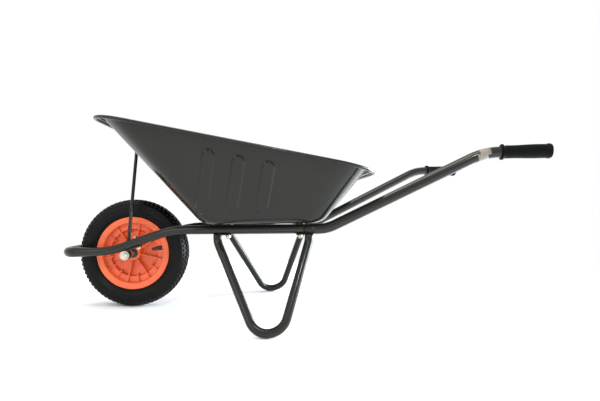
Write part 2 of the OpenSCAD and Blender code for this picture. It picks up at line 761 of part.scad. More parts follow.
module stay_nut() {
    color(zinc) on_front_wall(stay_bolt_below_rim, -stay_half_width)
        translate([0, 0, stay_end_t + sheet / 5]) hex_nut(small_hex, small_nut_t, small_bolt_d);
}

// Wheel, turned about its own axis
barrel_r = bead_seat_d / 2;
rim_half = wheel_rim_w / 2;
flange_in = rim_half - rim_flange_t;
ring_r = barrel_r - rim_barrel_t;
step_r = 76;
step_z = 14;
channel_z = 8;
valve_base = rim_barrel_t + 2;
valve_aside = 10;
valve_turn = 180 + rib_turn - 180 / long_ribs;

module on_wheel() {
    translate([axle_x, 0, axle_z]) rotate([90, 0, 0]) children();
}

module valve_place() {
    rotate([0, 0, valve_turn])
        translate([-ring_r, 0, valve_aside])
            rotate([0, 90, 0]) children();
}

module wheel_rim() {
    color(rim_orange) on_wheel() difference() {
        union() {
            rotate_extrude() polygon([
                [bush_d / 2, -hub_length / 2], [hub_d / 2, -hub_length / 2], [hub_d / 2, -web_t / 2],
                [step_r, -web_t / 2], [step_r, -step_z], [ring_r, -step_z],
                [ring_r, -rim_half], [rim_flange_d / 2, -rim_half],
                [rim_flange_d / 2, -flange_in], [barrel_r, -flange_in],
                [barrel_r, flange_in], [rim_flange_d / 2, flange_in],
                [rim_flange_d / 2, rim_half], [ring_r, rim_half],
                [ring_r, step_z], [step_r, step_z], [step_r, web_t / 2],
                [hub_d / 2, web_t / 2], [hub_d / 2, hub_length / 2], [bush_d / 2, hub_length / 2]
            ]);
            for (i = [0:long_ribs - 1]) {
                rotate([0, 0, rib_turn + i * 360 / long_ribs])
                    translate([hub_d / 2 - 1, -rib_t / 2, -rim_half + channel_z])
                        cube([ring_r - hub_d / 2 + 2, rib_t, 2 * (rim_half - channel_z)]);
                rotate([0, 0, rib_turn + (i + 0.5) * 360 / long_ribs])
                    translate([step_r - 8, -rib_t / 2, -rim_half + channel_z])
                        cube([ring_r - step_r + 9, rib_t, 2 * (rim_half - channel_z)]);
            }
        }
        valve_place() {
            translate([0, 0, -valve_base - 1]) cylinder(d = valve_d + 1, h = valve_base + 2);
            cylinder(d = valve_d + 8, h = valve_length + 18);
        }
    }
}

module hub_bush(side) {
    color("#d9d5c8") along_axle(side) difference() {
        union() {
            translate([0, 0, hub_length / 2 - bush_length]) cylinder(d = bush_d, h = bush_length);
            translate([0, 0, hub_length / 2]) cylinder(d = bush_flange_d, h = bush_flange_t);
        }
        translate([0, 0, hub_length / 2 - bush_length - 1])
            cylinder(d = axle_d + 2 * bush_gap, h = bush_length + bush_flange_t + 2);
    }
}

// Tyre section: crown, shoulders, sidewalls and the beads that sit inside the rim's flanges
tyre_wall = 5;
crown_t = 9;
tyre_r = tyre_d / 2;
bead_r = rim_flange_d / 2;
bead_gap = 0.3;

module tyre() {
    half = tyre_w / 2;
    depth = tyre_r - barrel_r;
    mid = barrel_r + depth * 0.45;
    color(black_rubber) on_wheel() rotate_extrude() polygon([
        [tyre_r, -half * 0.3], [tyre_r - depth * 0.03, -half * 0.6], [tyre_r - depth * 0.12, -half * 0.85],
        [tyre_r - depth * 0.3, -half * 0.97], [mid + depth * 0.05, -half], [mid - depth * 0.12, -half * 0.93],
        [bead_r + 1, -rim_half + 1], [bead_r + bead_gap, -flange_in], [barrel_r, -flange_in],
        [barrel_r, -flange_in + 9], [barrel_r + 8, -flange_in + 7],
        [mid - depth * 0.1, -half + tyre_wall * 1.4], [mid + depth * 0.06, -half + tyre_wall],
        [tyre_r - depth * 0.33, -half + tyre_wall], [tyre_r - crown_t - depth * 0.07, -half * 0.62],
        [tyre_r - crown_t, -half * 0.3],
        [tyre_r - crown_t, half * 0.3], [tyre_r - crown_t - depth * 0.07, half * 0.62],
        [tyre_r - depth * 0.33, half - tyre_wall], [mid + depth * 0.06, half - tyre_wall],
        [mid - depth * 0.1, half - tyre_wall * 1.4],
        [barrel_r + 8, flange_in - 7], [barrel_r, flange_in - 9],
        [barrel_r, flange_in], [bead_r + bead_gap, flange_in], [bead_r + 1, rim_half - 1],
        [mid - depth * 0.12, half * 0.93], [mid + depth * 0.05, half], [tyre_r - depth * 0.3, half * 0.97],
        [tyre_r - depth * 0.12, half * 0.85], [tyre_r - depth * 0.03, half * 0.6], [tyre_r, half * 0.3]
    ]);
}

tube_r = (tyre_r - crown_t - barrel_r) / 2 - 3;

module inner_tube() {
    color("#2a2a2a") on_wheel() rotate_extrude()
        translate([(tyre_r - crown_t + barrel_r) / 2, 0]) difference() {
            circle(r = tube_r);
            circle(r = tube_r - 2);
        }
}

module valve_stem() {
    color(black_rubber) on_wheel() valve_place() difference() {
        translate([0, 0, -valve_base]) cylinder(d = valve_d, h = valve_length + valve_base);
        translate([0, 0, valve_length - 6]) cylinder(d = 5, h = 7);
    }
}

module valve_cap() {
    color(black_rubber) on_wheel() valve_place() translate([0, 0, valve_length]) cylinder(d = valve_d - 1, h = 6);
}

front_frame();
handle_tube(left);  // left_handle_tube
handle_tube(right);  // right_handle_tube
grip(left);  // left_grip
grip(right);  // right_grip
leg(left);  // left_leg
leg(right);  // right_leg
cross_strap(front_bolt_x);  // front_cross_strap
cross_strap(rear_bolt_x);  // rear_cross_strap
tray();
rolled_rim_edge();
front_stay();
axle_bracket(left);  // left_axle_bracket
axle_bracket(right);  // right_axle_bracket
axle_bolt();
axle_nut();
axle_washers();
axle_spacer(left, spacer_inner, stay_half_width - stay_end_t / 2);  // left_axle_spacer
axle_spacer(left, stay_half_width + stay_end_t / 2, bracket_inner);  // left_outer_spacer
axle_spacer(right, spacer_inner, bracket_inner);  // right_axle_spacer
bracket_bolts();
bracket_nuts();
tray_bolts();
tray_bolt_washers();
tray_nuts();
handle_rivets();
stay_bolt();
stay_nut();
wheel_rim();
tyre();
inner_tube();
valve_stem();
valve_cap();
hub_bush(left);  // left_hub_bush
hub_bush(right);  // right_hub_bush
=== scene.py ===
import json
import math

import bmesh
import bpy
from mathutils import Matrix, Vector


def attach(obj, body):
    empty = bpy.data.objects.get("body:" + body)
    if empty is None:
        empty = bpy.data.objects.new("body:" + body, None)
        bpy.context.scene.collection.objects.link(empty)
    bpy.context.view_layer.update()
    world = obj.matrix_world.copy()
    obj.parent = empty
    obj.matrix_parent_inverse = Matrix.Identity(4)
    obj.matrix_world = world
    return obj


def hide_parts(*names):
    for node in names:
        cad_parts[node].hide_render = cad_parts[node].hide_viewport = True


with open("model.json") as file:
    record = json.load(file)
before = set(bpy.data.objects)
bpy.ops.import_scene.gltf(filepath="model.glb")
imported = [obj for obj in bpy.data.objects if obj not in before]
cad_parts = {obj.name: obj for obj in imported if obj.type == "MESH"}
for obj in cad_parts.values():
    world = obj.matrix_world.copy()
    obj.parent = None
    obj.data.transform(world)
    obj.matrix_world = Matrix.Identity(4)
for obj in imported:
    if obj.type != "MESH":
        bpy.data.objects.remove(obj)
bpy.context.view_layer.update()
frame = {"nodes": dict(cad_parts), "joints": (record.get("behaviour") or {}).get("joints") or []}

nodes = frame["nodes"]
bpy.ops.object.select_all(action="DESELECT")
print("frame loaded:", len(nodes), "nodes")

camera = {"place": (-0.0015, -1.34, 0.336), "roll": 2.0, "lens": 24.58, "shift": (0.0317, 0.0108)}
roll = math.radians(camera["roll"])
bpy.ops.object.camera_add()
eye = bpy.context.active_object
eye.name = "mainCamera"
eye.matrix_world = Matrix((
    (math.cos(roll), -math.sin(roll), 0, camera["place"][0]),
    (0, 0, -1, camera["place"][1]),
    (math.sin(roll), math.cos(roll), 0, camera["place"][2]),
    (0, 0, 0, 1)))
eye.data.lens = camera["lens"]
eye.data.sensor_width = 36
eye.data.shift_x, eye.data.shift_y = camera["shift"]
bpy.context.scene.camera = eye
bpy.context.scene.view_settings.view_transform = "Standard"


def newGroup(name, inputs, outputs):
    tree = bpy.data.node_groups.new(name, "ShaderNodeTree")
    for label, value in inputs.items():
        tree.interface.new_socket(label, in_out="INPUT", socket_type="NodeSocketFloat").default_value = value
    for label, kind in outputs.items():
        tree.interface.new_socket(label, in_out="OUTPUT", socket_type=kind)
    return tree, tree.nodes.new("NodeGroupInput"), tree.nodes.new("NodeGroupOutput")


def addNode(tree, kind, **settings):
    node = tree.nodes.new(kind)
    for key, value in settings.items():
        if hasattr(node, key):
            setattr(node, key, value)
        else:
            node.inputs[key.replace("_", " ")].default_value = value
    return node


def mathNode(tree, operation, a, b=0.5, clamp=False):
    node = addNode(tree, "ShaderNodeMath", operation=operation, use_clamp=clamp)
    for socket, value in zip(node.inputs, (a, b)):
        if isinstance(value, (int, float)):
            socket.default_value = value
        else:
            tree.links.new(value, socket)
    return node.outputs[0]


def noiseOn(tree, scale, detail=3.0, roughness=0.5):
    place = addNode(tree, "ShaderNodeTexCoord")
    noise = addNode(tree, "ShaderNodeTexNoise", Detail=detail, Roughness=roughness)
    tree.links.new(place.outputs["Object"], noise.inputs["Vector"])
    if isinstance(scale, (int, float)):
        noise.inputs["Scale"].default_value = scale
    else:
        tree.links.new(scale, noise.inputs["Scale"])
    return noise.outputs["Fac"]


def edgeWearAndHighlightGroup():
    # lighter colour along convex edges, broken up by noise: rubbed paint on the frame and tray, rubbed plastic with a
    # painted edge highlight on the rim
    tree, given, out = newGroup("edgeWearAndHighlight", {"Radius": 0.0015, "Amount": 1.0, "Breakup": 220.0},
                                {"Mask": "NodeSocketFloat"})
    rounded = addNode(tree, "ShaderNodeBevel", samples=4)
    tree.links.new(given.outputs["Radius"], rounded.inputs["Radius"])
    facing = addNode(tree, "ShaderNodeNewGeometry")
    dot = addNode(tree, "ShaderNodeVectorMath", operation="DOT_PRODUCT")
    tree.links.new(rounded.outputs["Normal"], dot.inputs[0])
    tree.links.new(facing.outputs["Normal"], dot.inputs[1])
    edge = mathNode(tree, "MULTIPLY", mathNode(tree, "SUBTRACT", 1.0, dot.outputs["Value"]), 9.0, True)
    broken = mathNode(tree, "MULTIPLY_ADD", noiseOn(tree, given.outputs["Breakup"], 4.0), 3.2)
    broken.node.inputs[2].default_value = -1.35
    broken.node.use_clamp = True
    mask = mathNode(tree, "MULTIPLY", edge, broken)
    tree.links.new(mathNode(tree, "MULTIPLY", mask, given.outputs["Amount"], True), out.inputs["Mask"])
    return tree


def mottleGroup():
    # slow variation with a finer one over it, from Low to High
    tree, given, out = newGroup("mottle", {"Scale": 12.0, "Low": 0.3, "High": 0.4},
                                {"Value": "NodeSocketFloat", "Height": "NodeSocketFloat"})
    slow = noiseOn(tree, given.outputs["Scale"], 2.0)
    fine = noiseOn(tree, mathNode(tree, "MULTIPLY", given.outputs["Scale"], 11.0), 4.0, 0.6)
    both = mathNode(tree, "ADD", mathNode(tree, "MULTIPLY", slow, 0.65), mathNode(tree, "MULTIPLY", fine, 0.35))
    spread = addNode(tree, "ShaderNodeMapRange")
    spread.inputs["From Min"].default_value = 0.3
    spread.inputs["From Max"].default_value = 0.7
    tree.links.new(both, spread.inputs["Value"])
    tree.links.new(given.outputs["Low"], spread.inputs["To Min"])
    tree.links.new(given.outputs["High"], spread.inputs["To Max"])
    tree.links.new(spread.outputs["Result"], out.inputs["Value"])
    tree.links.new(fine, out.inputs["Height"])
    return tree


def dustGroup():
    # thin dust on faces that look up, thinner where the noise is low
    tree, given, out = newGroup("dustFilm", {"Amount": 0.2, "Scale": 30.0}, {"Mask": "NodeSocketFloat"})
    facing = addNode(tree, "ShaderNodeNewGeometry")
    split = addNode(tree, "ShaderNodeSeparateXYZ")
    tree.links.new(facing.outputs["Normal"], split.inputs[0])
    up = mathNode(tree, "MULTIPLY_ADD", split.outputs["Z"], 1.6)
    up.node.inputs[2].default_value = -0.5
    up.node.use_clamp = True
    patch = mathNode(tree, "MULTIPLY", up, noiseOn(tree, given.outputs["Scale"], 5.0, 0.65))
    tree.links.new(mathNode(tree, "MULTIPLY", patch, given.outputs["Amount"], True), out.inputs["Mask"])
    return tree


edgeWearAndHighlight, mottle, dustFilm = edgeWearAndHighlightGroup(), mottleGroup(), dustGroup()


def useGroup(tree, group, **values):
    node = tree.nodes.new("ShaderNodeGroup")
    node.node_tree = group
    for key, value in values.items():
        node.inputs[key].default_value = value
    return node


def mixColour(tree, mask, a, b):
    node = addNode(tree, "ShaderNodeMix", data_type="RGBA")
    for socket, value in ((node.inputs[0], mask), (node.inputs[6], a), (node.inputs[7], b)):
        if isinstance(value, (int, float, tuple)):
            socket.default_value = value
        else:
            tree.links.new(value, socket)
    return node.outputs[2]


def finish(name, base, rough, grain, wearAndHighlight=None, dust=0.0, metal=0.0, coat=0.0, relief=0.0, tint=0.06, **shader):
    # base: colour; rough: lowest and highest roughness; grain: size of the mottling per metre
    material = bpy.data.materials.new(name)
    material.use_nodes = True
    tree = material.node_tree
    surface = tree.nodes["Principled BSDF"]
    surface.inputs["Metallic"].default_value = metal
    surface.inputs["Coat Weight"].default_value = coat
    surface.inputs["Coat Roughness"].default_value = 0.06
    for key, value in shader.items():
        surface.inputs[key.replace("_", " ")].default_value = value
    spots = useGroup(tree, mottle, Scale=grain, Low=rough[0], High=rough[1])
    shade = useGroup(tree, mottle, Scale=grain * 0.4, Low=0.0, High=1.0)
    light = tuple(min(1.0, c * (1 + tint) + tint * 0.01) for c in base) + (1,)
    dark = tuple(c * (1 - tint) for c in base) + (1,)
    colour = mixColour(tree, shade.outputs["Value"], dark, light)
    # convex edges get a lighter colour: rubbed wear, and on the rim also a painted edge highlight
    if wearAndHighlight:
        wearAndHighlightNode = useGroup(tree, edgeWearAndHighlight, Radius=wearAndHighlight["radius"], Amount=wearAndHighlight["amount"], Breakup=wearAndHighlight["breakup"])
        colour = mixColour(tree, wearAndHighlightNode.outputs["Mask"], colour, wearAndHighlight["colour"] + (1,))
    if dust:
        film = useGroup(tree, dustFilm, Amount=dust, Scale=grain * 2)
        colour = mixColour(tree, film.outputs["Mask"], colour, (0.42, 0.39, 0.34, 1))
    tree.links.new(colour, surface.inputs["Base Color"])
    tree.links.new(spots.outputs["Value"], surface.inputs["Roughness"])
    if relief:
        bump = addNode(tree, "ShaderNodeBump", Strength=0.35, Distance=relief)
        tree.links.new(spots.outputs["Height"], bump.inputs["Height"])
        tree.links.new(bump.outputs["Normal"], surface.inputs["Normal"])
    return material


tubeWear = {"radius": 0.0006, "amount": 0.3, "breakup": 260.0, "colour": (0.20, 0.19, 0.16)}
sheetWear = {"radius": 0.0003, "amount": 0.15, "breakup": 260.0, "colour": (0.16, 0.155, 0.13)}
finishes = {
    "frame_enamel": finish("frameEnamel", (0.012, 0.0125, 0.0095), (0.13, 0.20), 26, tubeWear, 0.01,
                           coat=0.1, relief=0.0001, Specular_IOR_Level=0.2),
    "tray_enamel": finish("trayEnamel", (0.012, 0.0125, 0.0098), (0.14, 0.20), 18, sheetWear, 0.01,
                          coat=0.1, relief=0.0001, Specular_IOR_Level=0.16),
    "zinc": finish("zincPlate", (0.50, 0.48, 0.39), (0.22, 0.42), 90, None, 0.15, metal=1.0,
                   relief=0.0002, tint=0.15),
    "grip_rubber": finish("gripRubber", (0.003, 0.0032, 0.0034), (0.38, 0.55), 60, None, 0.0, relief=0.0003,
                          Specular_IOR_Level=0.05),
    "tyre_rubber": finish("tyreRubber", (0.0022, 0.0022, 0.0021), (0.30, 0.46), 40, None, 0.0, relief=0.0004,
                          tint=0.2, Specular_IOR_Level=0.12),
    # lighter orange along the rim's convex edges: rubbed plastic together with a painted edge highlight
    "rim_plastic": finish("rimPlastic", (0.72, 0.115, 0.032), (0.32, 0.45), 35,
                          {"radius": 0.0009, "amount": 0.5, "breakup": 180.0, "colour": (0.86, 0.24, 0.12)},
                          0.05, relief=0.0002, Subsurface_Weight=0.04),
    "black_rubber": finish("blackRubber", (0.012, 0.012, 0.012), (0.45, 0.6), 50, None, 0.05, relief=0.0002),
    "bush_nylon": finish("bushNylon", (0.012, 0.012, 0.012), (0.4, 0.5), 60, relief=0.0001),
}
paleBand = finish("paleBand", (0.17, 0.148, 0.126), (0.4, 0.6), 120, None, 0.1, relief=0.0001, tint=0.2)


def done(piece, body, slotName, *replaced, material=None):
    piece.data.materials.clear()
    piece.data.materials.append(material or finishes[slotName])
    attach(piece, body)
    if replaced:
        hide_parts(*replaced)
    return piece


def only(piece):
    if bpy.context.mode != "OBJECT":
        bpy.ops.object.mode_set(mode="OBJECT")
    bpy.ops.object.select_all(action="DESELECT")
    piece.select_set(True)
    bpy.context.view_layer.objects.active = piece


def edit(piece, kind="VERT"):
    only(piece)
    bpy.ops.object.mode_set(mode="EDIT")
    bpy.ops.mesh.select_mode(type=kind)
    bpy.ops.mesh.select_all(action="DESELECT")


def leave():
    bpy.ops.object.mode_set(mode="OBJECT")


def pick(piece, kind, test):
    mesh = bmesh.from_edit_mesh(piece.data)
    if kind == "VERT":
        for v in mesh.verts:
            v.select_set(bool(test(v.co)))
    elif kind == "EDGE":
        for e in mesh.edges:
            e.select_set(bool(test(e.verts[0].co, e.verts[1].co)))
    else:
        for f in mesh.faces:
            f.select_set(bool(test(f.calc_center_median(), f.normal)))
    mesh.select_flush_mode()
    bmesh.update_edit_mesh(piece.data)


def modify(piece, kind, **settings):
    only(piece)
    change = piece.modifiers.new(kind.title(), kind)
    for key, value in settings.items():
        setattr(change, key, value)
    bpy.ops.object.modifier_apply(modifier=change.name)


def tidyMesh(piece, angle=35, merge=0.00001, outside=True):
    edit(piece)
    bpy.ops.mesh.select_all(action="SELECT")
    bpy.ops.mesh.remove_doubles(threshold=merge)
    if outside:
        bpy.ops.mesh.normals_make_consistent(inside=False)
    leave()
    bpy.ops.object.shade_smooth_by_angle(angle=math.radians(angle))
    return piece


def placed(name):
    piece = bpy.context.active_object
    piece.name = piece.data.name = name
    bpy.ops.object.transform_apply(location=True, rotation=True, scale=True)
    return piece


def join(name, *pieces):
    only(pieces[0])
    for other in pieces:
        other.select_set(True)
    bpy.ops.object.join()
    piece = bpy.context.active_object
    piece.name = piece.data.name = name
    return piece


def turnOf(direction):
    return Vector(direction).to_track_quat("Z", "Y").to_euler()


def bentTube(name, points, radii, diameter, sides=32, wall=0.0, bendStep=7):
    # a ring is drawn out straight and spun round each bend
    points = [Vector(p) for p in points]
    here = points[0]
    bpy.ops.mesh.primitive_circle_add(vertices=sides, radius=diameter / 2, location=here,
                                      rotation=turnOf(points[1] - here))
    piece = placed(name)
    edit(piece)
    bpy.ops.mesh.select_all(action="SELECT")
    for before, corner, after, radius in zip(points, points[1:], points[2:], radii):
        go, leaveBy = (corner - before).normalized(), (after - corner).normalized()
        turn = go.angle(leaveBy)
        reach = radius * math.tan(turn / 2)
        bpy.ops.mesh.extrude_region_move(TRANSFORM_OT_translate={"value": corner - go * reach - here})
        centre = corner + (leaveBy - go).normalized() * radius / math.cos(turn / 2)
        bpy.ops.mesh.spin(steps=max(3, math.ceil(math.degrees(turn) / bendStep)), angle=turn,
                          center=centre, axis=leaveBy.cross(go).normalized())
        here = corner + leaveBy * reach
    bpy.ops.mesh.extrude_region_move(TRANSFORM_OT_translate={"value": points[-1] - here})
    leave()
    tidyMesh(piece, 40)
    if wall:
        modify(piece, "SOLIDIFY", thickness=wall, offset=-1)
    return piece


def turned(name, outline, centre, axis, sides=64, angle=30):
    # a ring is drawn out and resized from one (radius, place along the axis) to the next
    centre, axis = Vector(centre), Vector(axis).normalized()
    radius, along = outline[0]
    bpy.ops.mesh.primitive_circle_add(vertices=sides, radius=radius, location=centre + axis * along,
                                      rotation=turnOf(axis))
    piece = placed(name)
    edit(piece)
    bpy.ops.mesh.select_all(action="SELECT")
    for nextRadius, nextAlong in outline[1:]:
        bpy.ops.mesh.extrude_region_move(TRANSFORM_OT_translate={"value": axis * (nextAlong - along)})
        factor = nextRadius / radius
        bpy.ops.transform.resize(value=(factor, factor, factor), center_override=centre + axis * nextAlong)
        radius, along = nextRadius, nextAlong
    leave()
    return tidyMesh(piece, angle)


def copiesRound(piece, centre, axis, count):
    # an Array round an empty turned by one step about the centre
    centre = Vector(centre)
    step = (Matrix.Translation(centre) @ Matrix.Rotation(math.tau / count, 4, Vector(axis))
            @ Matrix.Translation(-centre))
    only(piece)
    bpy.ops.object.empty_add()
    turner = bpy.context.active_object
    turner.matrix_world = step
    bpy.context.view_layer.update()
    modify(piece, "ARRAY", count=count, use_relative_offset=False, use_object_offset=True, offset_object=turner)
    bpy.data.objects.remove(turner)
    return piece


def hexHead(name, flats, height, centre, axis):
    # six-sided head with its corners turned off
    axis = Vector(axis).normalized()
    bpy.ops.mesh.primitive_cylinder_add(vertices=6, radius=flats / 2 / math.cos(math.pi / 6), depth=height,
                                        location=Vector(centre) + axis * height / 2, rotation=turnOf(axis))
    piece = placed(name)
    top = (Vector(centre) + axis * height).dot(axis)
    edit(piece, "FACE")
    pick(piece, "FACE", lambda c, n: abs(c.dot(axis) - top) < 0.0001)
    bpy.ops.mesh.inset(thickness=flats * 0.07)
    bpy.ops.transform.translate(value=axis * flats * 0.035)
    leave()
    modify(piece, "BEVEL", width=0.0004, segments=2, limit_method="ANGLE", angle_limit=math.radians(25))
    return tidyMesh(piece, 30)


def threaded(name, diameter, centre, axis, length, pitch=0.0015):
    # a screw end: rings between crest and root, then a chamfered tip
    outline = [(diameter / 2, 0)]
    turns = max(2, int(length / pitch) - 1)
    for i in range(turns):
        outline += [(diameter / 2, (i + 0.3) * pitch), (diameter / 2 - pitch * 0.45, (i + 0.65) * pitch)]
    outline += [(diameter / 2, turns * pitch), (diameter / 2, length - 0.001), (diameter / 2 - 0.001, length),
                (0.0002, length)]
    return turned(name, outline, centre, axis, 24, 30)


print("finishes and helpers ready")

wheelJoint = next(j for j in frame["joints"] if j["name"] == "wheel_spin")
axle = Vector(wheelJoint["pos_m"])
plan = {
    "tube": 0.026, "tubeWall": 0.0015, "sleeve": 0.029, "sleeveWall": 0.0012,
    "nose": (-0.6735, 0.064, 0.170), "noseBend": 0.046, "noseTall": 1.2,
    "low": (-0.520, 0.0845, 0.1815), "railStart": (-0.3235, 0.1295, 0.2565), "railBend": 0.30,
    "railEnd": (0.1275, 0.2025, 0.280), "railEndBend": 0.110, "sleeveFront": 0.0665, "frameEnd": 0.0965,
    "gripBend": (0.5245, 0.269, 0.497), "gripBendRadius": 0.170, "gripEnd": (0.68343, 0.29353, 0.50338),
    "gripLength": 0.121, "foot": -0.0255,
}
sides = {"left": -1, "right": 1}


def onSide(point, side):
    return Vector((point[0], sides[side] * point[1], point[2]))


def railAt(x):
    start, end = Vector(plan["railStart"]), Vector(plan["railEnd"])
    return start + (end - start) * (x - start.x) / (end.x - start.x)


railRun = Vector(plan["railEnd"]) - Vector(plan["railStart"])
railPitch = math.atan2(railRun.z, railRun.x)
railUp = Vector((-math.sin(railPitch), 0, math.cos(railPitch)))

# front frame: one tube round the wheel and back under the tray
framePoints = [onSide(p, "left") for p in (railAt(plan["frameEnd"]), plan["railStart"], plan["low"], plan["nose"])]
framePoints += [onSide((p.x, abs(p.y), p.z), "right") for p in reversed(framePoints)]
frameTube = bentTube("frontFrameTube", framePoints,
                     [plan["railBend"], plan["railBend"], plan["noseBend"], plan["noseBend"], plan["railBend"],
                      plan["railBend"]], plan["tube"], 40)
edit(frameTube)  # tight bending has made the section at the front taller than it is wide
pick(frameTube, "VERT", lambda c: c.x < -0.615)
bpy.ops.transform.resize(value=(1, 1, plan["noseTall"]), center_override=(0, 0, plan["nose"][2]))
leave()
modify(frameTube, "SOLIDIFY", thickness=plan["tubeWall"], offset=-1)
done(frameTube, "frame", "frame_enamel", "front_frame")
print("front frame bent")

# handle tubes and grips
gripShape = {"bore": 0.0145, "core": 0.0172, "belly": 0.0180, "flange": 0.0205, "flangeThick": 0.0045,
             "cap": 0.0195, "capThick": 0.009, "groove": 0.0006}
bandShape = {"from": 0.5065, "to": 0.5330, "proud": 0.00025}


def gripOutline():
    g, length = gripShape, plan["gripLength"]
    outline = [(g["bore"], 0.0), (g["flange"] - 0.0015, 0.0), (g["flange"], 0.0012), (g["flange"], g["flangeThick"]),
               (g["flange"] - 0.001, g["flangeThick"] + 0.0008), (g["core"] + 0.0004, g["flangeThick"] + 0.0014),
               (g["core"], g["flangeThick"] + 0.003)]
    for i in range(1, 12):
        t = i / 12
        swell = g["core"] + (g["belly"] - g["core"]) * t - 0.0005 * math.sin(math.tau * t)
        outline.append((swell, g["flangeThick"] + 0.003 + t * (length - g["flangeThick"] - g["capThick"] - 0.008)))
    cap = length - g["capThick"]
    outline += [(g["belly"], cap - 0.004), (g["cap"] - 0.0004, cap - 0.001), (g["cap"], cap + 0.001),
                (g["cap"], length - 0.0045), (g["cap"] - 0.0012, length - 0.0018),
                (g["cap"] - 0.0038, length - 0.0003), (g["cap"] - 0.007, length), (0.0003, length)]
    return outline


def makeHandle(side):
    route = [onSide(p, side)
             for p in (railAt(plan["sleeveFront"]), plan["railEnd"], plan["gripBend"], plan["gripEnd"])]
    gripGo = (route[3] - route[2]).normalized()
    route[3] = route[3] - gripGo * 0.006
    tube = bentTube(side + "HandleTube", route, [plan["railEndBend"], plan["gripBendRadius"]], plan["sleeve"], 40,
                    bendStep=3.2)
    # pale blank band: the outer half of a short stretch of the tube, copied and lifted off it
    edit(tube, "FACE")
    pick(tube, "FACE", lambda c, n: bandShape["from"] < c.x < bandShape["to"] and n.y * sides[side] > -0.1)
    bpy.ops.mesh.duplicate()
    bpy.ops.mesh.separate(type="SELECTED")
    leave()
    band = next(o for o in bpy.context.selected_objects if o is not tube)
    band.name = band.data.name = side + "HandleBand"
    edit(band)
    bpy.ops.mesh.select_all(action="SELECT")
    bpy.ops.transform.shrink_fatten(value=bandShape["proud"])
    leave()
    modify(band, "SOLIDIFY", thickness=0.0002, offset=-1)
    done(band, "frame", "frame_enamel", material=paleBand)
    edit(tube)  # the mouth of the sleeve is swaged onto the frame tube
    pick(tube, "VERT", lambda c: (c - route[0]).length < plan["sleeve"])
    bpy.ops.transform.resize(value=(0.93, 0.93, 0.93), center_override=route[0])
    leave()
    modify(tube, "SOLIDIFY", thickness=plan["sleeveWall"], offset=-1)
    done(tube, "frame", "frame_enamel", side + "_handle_tube")
    # grip with a swelling, a thin inner flange, a rounded cap and shallow lengthwise grooves
    end = onSide(plan["gripEnd"], side)
    start = end - gripGo * plan["gripLength"]
    grip = turned(side + "Grip", gripOutline(), start, gripGo, 72, 28)
    across = gripGo.cross(Vector((0, 0, 1))).normalized()
    over = across.cross(gripGo)
    grooved = (gripShape["flangeThick"] + 0.006, plan["gripLength"] - gripShape["capThick"] - 0.006)

    def inGroove(place):
        along = (place - start).dot(gripGo)
        out = ((place - start) - gripGo * along).length
        if not grooved[0] < along < grooved[1] or out < gripShape["bore"] + 0.001:
            return False
        turn = math.degrees(math.atan2((place - start).dot(over), (place - start).dot(across))) % 360
        return round(turn / 5) % 3 == 0
    edit(grip)
    pick(grip, "VERT", inGroove)
    bpy.ops.transform.shrink_fatten(value=-gripShape["groove"])
    leave()
    done(grip, "frame", "grip_rubber", side + "_grip")


for side in sides:
    makeHandle(side)
print("handles and grips")

# legs: struts bolted under the rails, splayed out to the feet
legShape = {"tube": 0.024, "wall": 0.0015, "footHalf": 0.298, "footBend": 0.052, "frontAhead": 0.157,
            "rearBehind": 0.105, "crossBehind": 0.014, "upright": 0.034, "knee": 0.040, "tab": (0.003, 0.020),
            "frontBolt": 0.031, "rearBolt": -0.026}


def footCorner(frontKnee, rearKnee, topHalf, topHeight):
    # the corner point sinks until the bend rests on the ground
    radius = legShape["tube"] / 2
    splay = (legShape["footHalf"] - topHalf) / (topHeight - radius)
    z = -0.07
    for i in range(12):
        corner = Vector((plan["foot"] + legShape["crossBehind"], legShape["footHalf"] + (radius - z) * splay, z))
        toFront, toRear = (frontKnee - corner).normalized(), (rearKnee - corner).normalized()
        half = toFront.angle(toRear) / 2
        centre = corner + (toFront + toRear).normalized() * legShape["footBend"] / math.sin(half)
        normal = toFront.cross(toRear).normalized()
        z -= centre.z - legShape["footBend"] * math.sqrt(1 - normal.z ** 2) - radius
    return corner


def roundedStrip(name, centre, size, turn, bevel=0.001, corner=0.0):
    bpy.ops.mesh.primitive_cube_add(size=1, location=centre, rotation=turn)
    piece = bpy.context.active_object
    piece.scale = size
    piece = placed(name)
    if corner:
        up = Matrix.Rotation(turn[2], 3, "Z") @ Matrix.Rotation(turn[1], 3, "Y") @ Vector((0, 0, 1))
        edit(piece, "EDGE")
        pick(piece, "EDGE", lambda a, b: abs((a - b).normalized().dot(up)) > 0.99)
        bpy.ops.mesh.bevel(offset=corner, segments=8, affect="EDGES")
        leave()
    modify(piece, "BEVEL", width=bevel, segments=3, limit_method="ANGLE", angle_limit=math.radians(40))
    return tidyMesh(piece, 30)


